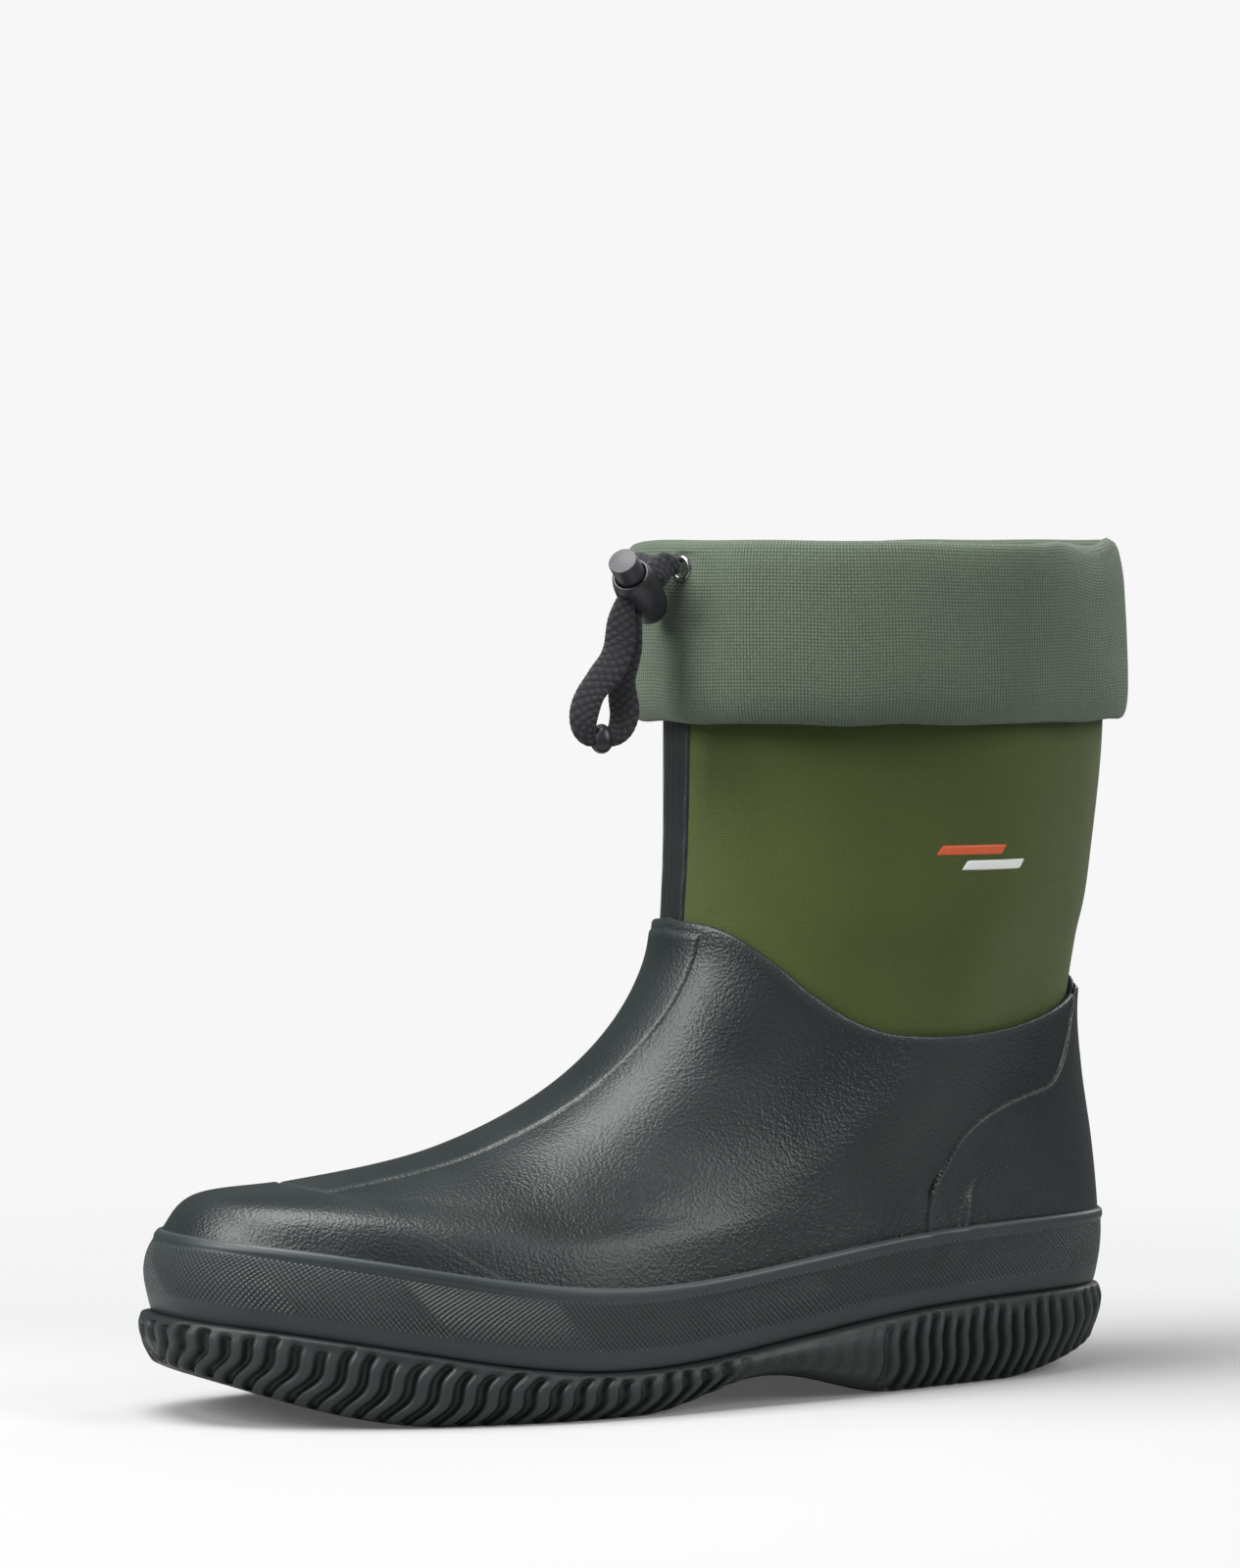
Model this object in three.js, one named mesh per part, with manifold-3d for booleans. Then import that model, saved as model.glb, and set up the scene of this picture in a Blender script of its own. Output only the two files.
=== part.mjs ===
// An insulated boot for the left foot: a rubber foot over a neoprene bootie, with a
// fold-down nylon gaiter that a drawcord and a cord lock close round the leg.
// Millimetres, +Z up, toes towards -Y, the outer side of the foot towards +X.

import * as THREE from 'three';
import { mergeVertices } from 'three/addons/utils/BufferGeometryUtils.js';
import Module from 'manifold-3d';

const wasm = await Module();
wasm.setup();

// ---------------------------------------------------------------- driving dimensions

const FOOT_LENGTH = 302; // upper at its longest, toe to heel
const FOOT_WIDTH = 103; // upper across the ball of the foot
const BOOT_HEIGHT = 250; // floor to the top of the gaiter
const SHAFT_WIDTH = 113; // rubber line of the shaft, side to side

const GAP = 0.3; // clearance between touching pieces
const RUBBER = 2.2; // wall of the rubber upper
const NEOPRENE = 4; // wall of the bootie
const LINING = 1.5; // fleece lining
const FOXING = 2.2; // band round the foot
const FOXING_BEAD = 0.5; // how far its top edge stands proud
const OVERLAY = 0.8; // toe cap, heel counter and instep band
const OVERLAY_GAP = 0.6; // glue line under an overlay on strongly curved rubber
const SEAM_STRIP = 1; // rubber tape over the shaft's seams
const SEAM_GAP = 0.7; // glue line under it
const BINDING = 1; // tape over the shaft's top edge
const BINDING_HEIGHT = 6;
const BOARD = 2; // insole board
const MIDSOLE = 3;
const FOOTBED = 5;
const SOLE_LIP = 5.4; // how far the outsole stands out past the upper
const SHANK = { length: 96, width: 14, wall: 1.3, heelEnd: 76 };

const GAITER_WALL = 1.3; // doubled nylon
const GAITER_STAND_OFF = 10; // outer face of the gaiter from the rubber line, in front
const GAITER_HUG = 5; // how much nearer it lies behind, over the lower fold
const CASING_HUG = 3.7; // and along the cord casing
const GAITER_DROP = 54; // top of the gaiter to its lower fold
const GAITER_TOP_ROLL = 13.4; // height of the cord casing along the top
const SHAFT_BELOW_TOP = 10; // the bootie's top edge, under the gaiter's top
const PLY_GAP = 1.2; // play of the folded ply outside the rubber line
const PLY_HUG = 0.3; // how much nearer it lies behind

const CORD = 3; // drawcord, as a round cord
const CORD_FLAT = { width: 6, wall: 1.7 }; // the cord where it lies flat in its casing
const EYELET = { bore: CORD / 2 + 1, neck: CORD / 2 + 1.6, flange: CORD / 2 + 3.7, wall: 0.7, below: 9 };
const EYELET_X = { lateral: 17, medial: -6 };
const BARREL = { bore: 4.6, mouth: 7.5, shoulder: -9.2, pocket: 3.5, floor: -11.6, bottom: -13.2 };
const BUTTON = { top: 14.5, slotLow: -4.3, slotHigh: 7, wall: 1.3 };
const BUTTON_TRAVEL = 3;
const SLOT = { width: CORD + 3.4, height: 2 * CORD + 3.6 }; // the cord's way through the lock
const SPRING = { radius: 2.7, wire: 0.25, turns: 2.5 };
const BEAD = { radius: CORD / 2 + 1.6, halfHeight: 4, bore: CORD / 2 + 0.6 };

const TOE_CAP_DEG = 68; // the toe cap ends this far round from the toe
const MARK = { columns: [8, 11], low: 0.82, high: 0.842, wall: 0.4 };
const BALL_FLAT = [-88, -30]; // level tread under the ball of the foot, along Y
const HEEL_FLAT = [62, 104]; // and under the heel
const ARCH_HEIGHT = 8;
const TOE_SPRING = 18;
const HEEL_SPRING = 10;

// the drawcord leaves the gaiter level and bends down on this circle, about an axis along X
const CORD_BEND = { y: 0.3, z: 222.85, radius: 18 };
const LOCK_X = 19;
const LOCK_ANGLE = 47.6; // degrees round the bend from level

// ---------------------------------------------------------------- the last

const COLUMNS = 36; // sections round the foot
const COLUMN_DEG = 360 / COLUMNS;
const rad = THREE.MathUtils.degToRad;
const smooth = (x) => THREE.MathUtils.smoothstep(x, 0, 1);

// Sections of the last from the feather line (v = 0) to the top (v = 1): toe and heel
// end in y and z, sag of the section between them, half widths at the ball, waist and
// heel, roundness of the front and back halves, and how much it bends like a foot.
const along = FOOT_LENGTH / 302;
const across = FOOT_WIDTH / 103;
const shaftAcross = SHAFT_WIDTH / 113;
const SHAFT_START = 150; // above it the shaft is nearly straight
const GAITER_LEVEL = SHAFT_START + (BOOT_HEIGHT - SHAFT_START) * 0.45;
const SECTIONS = [
  [0.0, -149, 32, 149, 25, 16, 50, 38.5, 37, 2.5, 2.4, 1],
  [0.1, -151, 45, 151, 36, 16, 51.5, 40, 38.5, 2.5, 2.4, 1],
  [0.2, -146, 54.5, 151, 47, 15, 51, 40, 38.5, 2.5, 2.4, 1],
  [0.27, -137, 63.5, 150, 58, 13, 48, 39.5, 38, 2.4, 2.4, 0.95],
  [0.34, -112, 65.5, 148.5, 69, 10, 43, 39, 37, 2.3, 2.4, 0.85],
  [0.46, -64, 73, 145, 90, 5, 38, 40, 36.5, 2.2, 2.3, 0.6],
  [0.58, -24, 91, 143, 110, 0, 39, 42, 38, 2.1, 2.2, 0.3],
  [0.7, 1, 118, 145, 129, 0, 44, 46.5, 42, 2.1, 2.1, 0.08],
  [0.82, 7, SHAFT_START, 149, 153, 0, 50, 53, 49.5, 2, 2, 0],
  [0.9, 8, GAITER_LEVEL, 152.6, GAITER_LEVEL, 0, 53.6, 56.2, 53.6, 2, 2, 0],
  [1.0, 8.5, BOOT_HEIGHT, 148.5, BOOT_HEIGHT, 0, 54, 56.5, 53.4, 2, 2, 0],
].map(([v, toeY, toeZ, heelY, heelZ, sag, ball, waist, heel, ...rest]) => {
  const wide = THREE.MathUtils.lerp(across, shaftAcross, smooth((v - 0.5) / 0.3));
  const widths = [ball * wide, waist * wide, heel * wide];
  return [v, toeY * along, toeZ, heelY * along, heelZ, sag, ...widths, ...rest];
});

// A smooth curve through rows of numbers: cubic, each slope weighed from its neighbours.
function through(rows) {
  const x = rows.map((row) => row[0]);
  const last = rows.length - 1;
  const slope = (i, c) => (rows[i + 1][c] - rows[i][c]) / (x[i + 1] - x[i]);
  const tangent = (i, c) => {
    if (i === 0) return slope(0, c);
    if (i === last) return slope(last - 1, c);
    const before = x[i] - x[i - 1];
    const after = x[i + 1] - x[i];
    return (slope(i - 1, c) * after + slope(i, c) * before) / (before + after);
  };
  return (at, c) => {
    let i = 0;
    while (i < last - 1 && at > x[i + 1]) i += 1;
    const h = x[i + 1] - x[i];
    const t = (at - x[i]) / h;
    const start = rows[i][c] * (1 + 2 * t) * (1 - t) ** 2 + tangent(i, c) * h * t * (1 - t) ** 2;
    const end = rows[i + 1][c] * t * t * (3 - 2 * t) + tangent(i + 1, c) * h * t * t * (t - 1);
    return start + end;
  };
}

const section = through(SECTIONS);

// Half width at share t of the length: level to the ball, in to the waist, on to the heel.
function halfWidth(v, t) {
  const at = [0.3, 0.58, 0.84];
  const [ball, waist, heel] = [6, 7, 8].map((c) => section(v, c));
  const front = THREE.MathUtils.lerp(ball, waist, smooth((t - at[0]) / (at[1] - at[0])));
  return THREE.MathUtils.lerp(front, heel, smooth((t - at[1]) / (at[2] - at[1])));
}

// The foot bends: the toes lean inwards and the waist bulges outwards.
function bend(v, t) {
  const toes = -11 * Math.max(0, (0.34 - t) / 0.34) ** 1.6;
  const waist = 4.5 * Math.exp(-(((t - 0.55) / 0.16) ** 2));
  return section(v, 11) * (toes + waist);
}

const dip = (t) => Math.exp(-(((t - 0.38) / 0.28) ** 2));

// A point of the last at angle a (0 at the toe, a quarter turn at the outer side) and height v.
function lastPoint(a, v) {
  const power = section(v, Math.cos(a) > 0 ? 9 : 10);
  const t = (1 - Math.sign(Math.cos(a)) * Math.abs(Math.cos(a)) ** (2 / power)) / 2;
  const side = Math.sign(Math.sin(a)) * Math.abs(Math.sin(a)) ** (2 / power);
  return new THREE.Vector3(
    bend(v, t) + halfWidth(v, t) * side,
    THREE.MathUtils.lerp(section(v, 1), section(v, 3), t),
    THREE.MathUtils.lerp(section(v, 2), section(v, 4), t) - section(v, 5) * dip(t),
  );
}

function lastNormal(a, v) {
  const step = 0.004;
  const round = lastPoint(a + step, v).sub(lastPoint(a - step, v));
  const up = lastPoint(a, Math.min(1, v + step)).sub(lastPoint(a, Math.max(0, v - step)));
  return round.cross(up).normalize();
}

// A point that stands off the last by a distance, out of the foot, and level at the feather line.
function skin(a, v, off) {
  const out = lastNormal(a, v);
  if (v === 0) out.setZ(0).normalize();
  return lastPoint(a, v).addScaledVector(out, off);
}

// The height v at which the last reaches level z, in the shaft.
function shaftV(a, z) {
  let [low, high] = [0.6, 1];
  for (let i = 0; i < 30; i += 1) {
    const middle = (low + high) / 2;
    if (lastPoint(a, middle).z < z) low = middle;
    else high = middle;
  }
  return (low + high) / 2;
}

// A point of the shaft at a level, standing off level from the rubber line.
function shaftPoint(a, z, off) {
  const v = shaftV(a, z);
  const out = lastNormal(a, v).setZ(0).normalize();
  return lastPoint(a, v).setZ(z).addScaledVector(out, off);
}

// Levels that the shells share, so that their faces lie parallel.
const FOXING_TOP = 0.2;
const LOW_LEVELS = [0.075, 0.13, FOXING_TOP, 0.28, 0.36, 0.44, 0.52];
const rubberEdge = through([
  [0, 0.786],
  [30, 0.768],
  [60, 0.682],
  [90, 0.599],
  [115, 0.572],
  [150, 0.593],
  [180, 0.635],
]);
const fromToe = (a) => Math.abs(THREE.MathUtils.radToDeg(Math.atan2(Math.sin(a), Math.cos(a))));
const edgeOf = (a) => rubberEdge(fromToe(a), 1);
const steps = (from, to, count) =>
  Array.from({ length: count }, (_, i) => from + ((to - from) * (i + 1)) / count);
const rubberLevels = (a) => [...LOW_LEVELS, ...steps(LOW_LEVELS.at(-1), edgeOf(a), 3)];

// ---------------------------------------------------------------- mesh builders

const angles = Array.from({ length: COLUMNS }, (_, i) => rad(i * COLUMN_DEG));
const ring = (point) => angles.map(point);

function geometryOf(points, faces) {
  let volume = 0;
  for (const [i, j, k] of faces) {
    volume += points[i].dot(points[j].clone().cross(points[k]));
  }
  const outward = volume > 0 ? faces : faces.map(([i, j, k]) => [i, k, j]);
  const geometry = new THREE.BufferGeometry();
  const flat = points.flatMap((p) => p.toArray());
  geometry.setAttribute('position', new THREE.Float32BufferAttribute(flat, 3));
  geometry.setIndex(outward.flat());
  geometry.computeVertexNormals();
  return geometry;
}

// A closed body from rings of points. The ends are poles, joined to each other (loop), or
// closed as strips between the two sides of a flat section. Where the rings or their points
// run back, crossed(i, k) turns the diagonals, so that the faces of two layers lie parallel.
function bodyOfRings(rings, ends = 'poles', crossed = () => false) {
  const points = rings.flat();
  const starts = [];
  rings.reduce((sum, r) => {
    starts.push(sum);
    return sum + r.length;
  }, 0);
  const faces = [];
  const join = (i, j) => {
    const count = Math.max(rings[i].length, rings[j].length);
    const at = (r, k) => starts[r] + (rings[r].length === 1 ? 0 : k % count);
    for (let k = 0; k < count; k += 1) {
      const [low, lowNext, high, highNext] = [at(i, k), at(i, k + 1), at(j, k), at(j, k + 1)];
      if (low === lowNext) faces.push([high, low, highNext]);
      else if (high === highNext) faces.push([low, lowNext, high]);
      else if (crossed(i, k)) faces.push([low, lowNext, highNext], [low, highNext, high]);
      else faces.push([low, lowNext, high], [high, lowNext, highNext]);
    }
  };
  for (let i = 0; i + 1 < rings.length; i += 1) join(i, i + 1);
  if (ends === 'loop') join(rings.length - 1, 0);
  if (ends === 'strips') {
    const count = rings[0].length;
    for (const [r, flip] of [
      [0, false],
      [rings.length - 1, true],
    ]) {
      for (let k = 0; k + 1 < count / 2; k += 1) {
        const quad = [k, k + 1, count - 2 - k, count - 1 - k].map((n) => starts[r] + n);
        if (flip) quad.reverse();
        faces.push([quad[0], quad[3], quad[2]], [quad[0], quad[2], quad[1]]);
      }
    }
  }
  return geometryOf(points, faces);
}

// A band all round the foot: levels(a) gives its rows, and it lies between two offsets.
function band(levels, inner, outer) {
  const rows = levels(0).map((_, i) => i);
  const side = (off, i) => ring((a) => skin(a, levels(a)[i], typeof off === 'number' ? off : off(i)));
  const count = rows.length;
  const sides = [...rows.map((i) => side(outer, i)), ...rows.reverse().map((i) => side(inner, i))];
  return bodyOfRings(sides, 'loop', (i) => i >= count);
}

// A panel on part of the foot, between two columns counted from the toe.
function panel(fromColumn, toColumn, levels, inner, outer) {
  const columns = Array.from({ length: toColumn - fromColumn + 1 }, (_, i) => fromColumn + i);
  const loops = columns.map((column) => {
    const a = rad(column * COLUMN_DEG);
    const rows = levels(a);
    return [...rows.map((v) => skin(a, v, outer)), ...rows.reverse().map((v) => skin(a, v, inner))];
  });
  return bodyOfRings(loops, 'strips', (i, k) => k >= loops[0].length / 2);
}

// A share that grows from the toe's side round to the heel, where the gaiter hugs the leg.
const behind = (a) => {
  const fromToe = THREE.MathUtils.radToDeg(Math.acos(Math.cos(a)));
  return smooth((fromToe - 60) / 80);
};

// A ring round the shaft with a section given as [stand-off, level, stand-off behind] corners.
const shaftRing = (corners) => {
  const rings = corners.map(([off, z, heelOff = off]) =>
    ring((a) => shaftPoint(a, z, THREE.MathUtils.lerp(off, heelOff, behind(a)))),
  );
  return bodyOfRings(rings, 'loop');
};

// ---------------------------------------------------------------- the sole's lines

const toeY = section(0, 1);
const heelY = section(0, 3);
const CENTRE = new THREE.Vector3(0, 10, 0);

// Feather line, where the upper meets the sole, as a height over the length.
function featherLine(y) {
  const t = (y - toeY) / (heelY - toeY);
  return THREE.MathUtils.lerp(section(0, 2), section(0, 4), t) - section(0, 5) * dip(t);
}

// Underside of the outsole: level under the ball and the heel, sprung at the toe, arched between.
function groundLine(y) {
  if (y < BALL_FLAT[0]) return TOE_SPRING * ((BALL_FLAT[0] - y) / 67) ** 1.7;
  if (y > HEEL_FLAT[1]) return HEEL_SPRING * ((y - HEEL_FLAT[1]) / 48) ** 1.5;
  const t = (y - BALL_FLAT[1]) / (HEEL_FLAT[0] - BALL_FLAT[1]);
  return t > 0 && t < 1 ? ARCH_HEIGHT * Math.sin(Math.PI * t) ** 2 : 0;
}

// Outline of the foot in plan, standing off by a distance and drawn in towards the centre.
function outlinePoint(a, off, share = 1) {
  const out = lastNormal(a, 0).setZ(0).normalize();
  const edge = lastPoint(a, 0).setZ(0).addScaledVector(out, off);
  return CENTRE.clone().lerp(edge, share);
}

const soleRing = (off, height, share = 1) =>
  ring((a) => {
    const p = outlinePoint(a, off, share);
    return p.setZ(height(p.y));
  });
const solePole = (height) => [CENTRE.clone().setZ(height(CENTRE.y))];
const above = (lift) => (y) => featherLine(y) + lift;
const SHARES = [0.35, 0.7];

// A flat layer that follows the feather line, from one lift above it to another.
function layer(off, low, high) {
  const up = SHARES.map((share) => soleRing(off, above(high), share));
  const down = SHARES.map((share) => soleRing(off, above(low), share)).reverse();
  const top = [solePole(above(high)), ...up, soleRing(off, above(high))];
  const bottom = [soleRing(off, above(low)), ...down, solePole(above(low))];
  return bodyOfRings([...top, ...bottom], 'poles', (i) => i >= top.length);
}

// ---------------------------------------------------------------- manifold joins and cuts

function solidOf(geometry) {
  const bare = geometry.clone();
  bare.deleteAttribute('normal');
  bare.deleteAttribute('uv');
  const merged = mergeVertices(bare, 1e-4);
  return new wasm.Manifold(
    new wasm.Mesh({
      numProp: 3,
      vertProperties: Float32Array.from(merged.attributes.position.array),
      triVerts: Uint32Array.from(merged.index.array),
    }),
  );
}

function cut(geometry, ...tools) {
  const result = tools.reduce((body, tool) => body.subtract(solidOf(tool)), solidOf(geometry)).getMesh();
  const made = new THREE.BufferGeometry();
  made.setAttribute('position', new THREE.Float32BufferAttribute(Array.from(result.vertProperties), 3));
  made.setIndex(Array.from(result.triVerts));
  made.computeVertexNormals();
  return made;
}

// ---------------------------------------------------------------- materials and nodes

const finish = (color, roughness, metalness = 0) =>
  new THREE.MeshStandardMaterial({ color, roughness, metalness });
const blackRubber = () => finish('#33383a', 0.5);
const soleRubber = () => finish('#2b3032', 0.65);
const board = () => finish('#8d8069', 0.9);
const steel = () => finish('#b9bcc0', 0.3, 1);
const oliveNeoprene = () => finish('#4d5833', 0.85);
const greyFleece = () => finish('#4a4c4d', 0.95);
const greyFoam = () => finish('#55585a', 0.9);
const sageNylon = () => finish('#5d6a5b', 0.75);
const blackNylon = () => finish('#2c2d2e', 0.8);
const blackPlastic = () => finish('#3a3a3e', 0.4);

const boot = new THREE.Group();
function add(name, geometry, material, parent = boot) {
  const mesh = new THREE.Mesh(geometry, material);
  mesh.name = name;
  parent.add(mesh);
  return mesh;
}

// ---------------------------------------------------------------- sole

const LEDGE = 4.4; // inner edge of the ledge that the upper stands on
const recess = above(-2 * GAP - MIDSOLE);
const lipTop = above(-GAP - 0.6);
const between = (share) => (y) => THREE.MathUtils.lerp(lipTop(y), groundLine(y), share);
const footLedge = FOXING + GAP + FOXING_BEAD + 0.4;
const TREAD_IN = -1;

add(
  'outsole',
  bodyOfRings([
    solePole(recess),
    ...SHARES.map((share) => soleRing(-LEDGE, recess, share)),
    soleRing(-LEDGE, recess),
    soleRing(-LEDGE + 0.2, above(-GAP)),
    soleRing(footLedge, above(-GAP)),
    soleRing(SOLE_LIP - 0.5, lipTop),
    soleRing(SOLE_LIP, between(0.25)),
    soleRing(SOLE_LIP - 1, between(0.62)),
    soleRing(TREAD_IN + 3, (y) => groundLine(y) + 1.2),
    soleRing(TREAD_IN, groundLine),
    ...[0.82, 0.58, 0.34, 0.14].map((share) => soleRing(TREAD_IN, groundLine, share)),
    solePole(groundLine),
  ]),
  soleRubber(),
);

// A strip along the sole's middle that follows the feather line: the shank and its pocket.
function middleStrip(grow, low, high) {
  const half = SHANK.width / 2 + grow;
  const from = SHANK.heelEnd - SHANK.length - grow;
  const loops = [0, 0.2, 0.4, 0.6, 0.8, 1].map((share) => {
    const y = from + (SHANK.length + 2 * grow) * share;
    const [bottom, top] = [featherLine(y) + low, featherLine(y) + high];
    return [
      new THREE.Vector3(-half, y, bottom),
      new THREE.Vector3(half, y, bottom),
      new THREE.Vector3(half, y, top),
      new THREE.Vector3(-half, y, top),
    ];
  });
  return bodyOfRings(loops, 'strips');
}

const shankTop = -GAP - 0.5;
add('shank', middleStrip(0, shankTop - SHANK.wall, shankTop), steel());
add(
  'midsole',
  cut(
    layer(-LEDGE - 0.4, -GAP - MIDSOLE, -GAP),
    middleStrip(0.6, shankTop - SHANK.wall - GAP, 4),
  ),
  greyFoam(),
);
add('insole_board', layer(-RUBBER - 0.4, 0, BOARD), board());

// ---------------------------------------------------------------- upper

const bootieTop = BOOT_HEIGHT - SHAFT_BELOW_TOP;
const bindingFoot = bootieTop - BINDING_HEIGHT;

// A sock: a wall up to a top line and a floor above the feather line. Its inner wall starts
// at the first level that clears the floor.
function sock(outer, wall, floor, levels, insideFrom) {
  const count = levels(0).length;
  const side = (off, from) =>
    Array.from({ length: count - from }, (_, i) => ring((a) => skin(a, levels(a)[i + from], off)));
  const flat = (off, lift) => SHARES.map((share) => soleRing(off, above(lift), share));
  const outside = [
    solePole(above(floor)),
    ...flat(-outer, floor),
    soleRing(-outer, above(floor)),
    ...side(-outer, 0),
  ];
  const inside = [
    ...side(-outer - wall, insideFrom).reverse(),
    soleRing(-outer - wall, above(floor + wall)),
    ...flat(-outer - wall, floor + wall).reverse(),
    solePole(above(floor + wall)),
  ];
  return bodyOfRings([...outside, ...inside], 'poles', (i) => i >= outside.length);
}

const bootieOuter = RUBBER + GAP;
const bootieFloor = BOARD + GAP;
const liningOuter = bootieOuter + NEOPRENE + GAP;
const liningFloor = bootieFloor + NEOPRENE + GAP;
const footbedLow = liningFloor + LINING + GAP;

add('rubber_shell', band((a) => [0, ...rubberLevels(a)], -RUBBER, 0), blackRubber());

// the bootie is sewn from a foot and a shaft, butted along a seam under the rubber
const SEWN_AT = LOW_LEVELS.indexOf(0.44);
const SEWN_GAP = 0.0015;
const shaftLevels = (a, top) => [...steps(edgeOf(a), shaftV(a, bindingFoot), 3), shaftV(a, top)];
const sewnFoot = () => LOW_LEVELS.slice(0, SEWN_AT + 1);
const sewnShaft = (a) => [
  LOW_LEVELS[SEWN_AT] + SEWN_GAP,
  ...rubberLevels(a).slice(SEWN_AT + 1),
  ...shaftLevels(a, bootieTop),
];
const liningLevels = (a) => [...rubberLevels(a), ...shaftLevels(a, bootieTop - 2 * GAP)];
add('bootie_foot', sock(bootieOuter, NEOPRENE, bootieFloor, sewnFoot, 0), oliveNeoprene());
add('bootie_shaft', band(sewnShaft, -bootieOuter - NEOPRENE, -bootieOuter), oliveNeoprene());
add('lining', sock(liningOuter, LINING, liningFloor, liningLevels, 1), greyFleece());
add('footbed', layer(-liningOuter - LINING - 0.7, footbedLow, footbedLow + FOOTBED), greyFoam());

// foxing: a band with a beaded top edge
const foxingLevels = [0, 0.075, 0.13, 0.18, FOXING_TOP];
const foxingOuter = (i) => GAP + FOXING + (i >= 3 ? FOXING_BEAD : 0);
const foxingRows = (off) => foxingLevels.map((v, i) => ring((a) => skin(a, v, off(i))));
const foxingSides = [...foxingRows(foxingOuter), ...foxingRows(() => GAP).reverse()];
add('foxing_band', bodyOfRings(foxingSides, 'loop', (i) => i >= foxingLevels.length), blackRubber());

// overlays: each starts just above the foxing and has its own top line
const overlayFoot = FOXING_TOP + 0.007;
const overlay = (fromColumn, toColumn, top, count, low = () => overlayFoot) =>
  panel(
    fromColumn,
    toColumn,
    (a) => [low(a), ...steps(low(a), top(a), count)],
    OVERLAY_GAP,
    OVERLAY_GAP + OVERLAY,
  );

const toeCapTop = (a) => 0.2 + 0.144 * (1 - (fromToe(a) / TOE_CAP_DEG) ** 2.4);
add('toe_cap', overlay(-6, 6, toeCapTop, 6), blackRubber());

// the counter's top line, with the stay that climbs the back seam
function counterTop(a) {
  const fromHeel = 180 - fromToe(a);
  const corner = Math.max(0, (fromHeel - 39) / 27) ** 2.5;
  return 0.355 + 0.105 * (1 - corner) + 0.16 * smooth((38 - fromHeel) / 16);
}
add('heel_counter', overlay(11, 25, counterTop, 6), blackRubber());

const bandFoot = (a) => toeCapTop(a) + 0.012;
const bandLevels = (a) => [bandFoot(a), ...rubberLevels(a).filter((v) => v > 0.37), edgeOf(a)].slice(0, -1);
add('instep_band', panel(-2, 2, bandLevels, OVERLAY_GAP, OVERLAY_GAP + OVERLAY), blackRubber());

// seam strips on the shaft, from the rubber's edge up to the gaiter's fold
const foldLevel = BOOT_HEIGHT - GAITER_DROP;
const stripFoot = SEAM_GAP - bootieOuter;
const stripAt = (from, to, top) => {
  const levels = (a) => [edgeOf(a) + 0.006, ...steps(edgeOf(a) + 0.006, shaftV(a, top), 3)];
  return panel(from, to, levels, stripFoot, stripFoot + SEAM_STRIP);
};
add('front_seam_strip', stripAt(-1, 1, foldLevel + 6), blackRubber());
add('back_seam_strip', stripAt(COLUMNS / 2 - 1, COLUMNS / 2 + 1, foldLevel - 1), blackRubber());

add(
  'shaft_mark',
  panel(
    ...MARK.columns,
    () => [MARK.low, MARK.high],
    -bootieOuter + GAP,
    -bootieOuter + GAP + MARK.wall,
  ),
  finish('#d9693c', 0.6),
);

// binding over the raw top edge of bootie, lining and gaiter ply
const PLY_TOP_OFF = -1.9;
const bindingOut = PLY_TOP_OFF + BINDING + GAP;
const bindingIn = -liningOuter - LINING - GAP;
add(
  'top_binding',
  shaftRing([
    [bindingOut, bindingFoot],
    [bindingOut + BINDING, bindingFoot],
    [bindingOut + BINDING, bootieTop + GAP + BINDING],
    [bindingIn - BINDING, bootieTop + GAP + BINDING],
    [bindingIn - BINDING, bindingFoot],
    [bindingIn, bindingFoot],
    [bindingIn, bootieTop + GAP],
    [bindingOut, bootieTop + GAP],
  ]),
  blackNylon(),
);

// ---------------------------------------------------------------- gaiter

// The folded ply hangs from the shaft's top edge down to the lower fold.
const plyFoot = foldLevel + 10;
add(
  'gaiter_ply',
  shaftRing([
    [PLY_TOP_OFF, bootieTop],
    [PLY_TOP_OFF + 1, bootieTop],
    [PLY_TOP_OFF + 1.2, bindingFoot - 3],
    [PLY_GAP + 1, plyFoot + GAP, PLY_GAP + 1 - PLY_HUG],
    [PLY_GAP, plyFoot + GAP, PLY_GAP - PLY_HUG],
    [PLY_TOP_OFF + 0.2, bindingFoot - 3],
  ]),
  sageNylon(),
);

// The outer ply: up from the rounded lower fold to the casing.
const casingFoot = BOOT_HEIGHT - GAITER_TOP_ROLL;
const out = GAITER_STAND_OFF;
const heelOut = out - GAITER_HUG;
const plyHeel = PLY_GAP - PLY_HUG;
const wall = GAITER_WALL;
add(
  'gaiter_outer',
  shaftRing([
    [PLY_GAP, plyFoot, plyHeel],
    [PLY_GAP + 0.4, foldLevel + 3.4, plyHeel + 0.4],
    [5.6, foldLevel, heelOut - 2.1],
    [out - 1.4, foldLevel + 1.6, heelOut - 1.4],
    [out, foldLevel + 6.5, heelOut],
    [out + 0.3, foldLevel + 18, heelOut + 0.3],
    [out - 0.3, casingFoot, out - 0.3 - CASING_HUG],
    [out - 0.3 - wall, casingFoot, out - 0.3 - wall - CASING_HUG],
    [out + 0.3 - wall, foldLevel + 18, heelOut + 0.3 - wall],
    [out - wall, foldLevel + 7, heelOut - wall],
    [out - 2.2, foldLevel + 2.8, heelOut - 1.8],
    [5.6, foldLevel + wall, heelOut - 2.1],
    [PLY_GAP + 1.5, foldLevel + 4.2, plyHeel + 1.3],
    [PLY_GAP + 1, plyFoot, plyHeel + 1],
  ]),
  sageNylon(),
);

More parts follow.
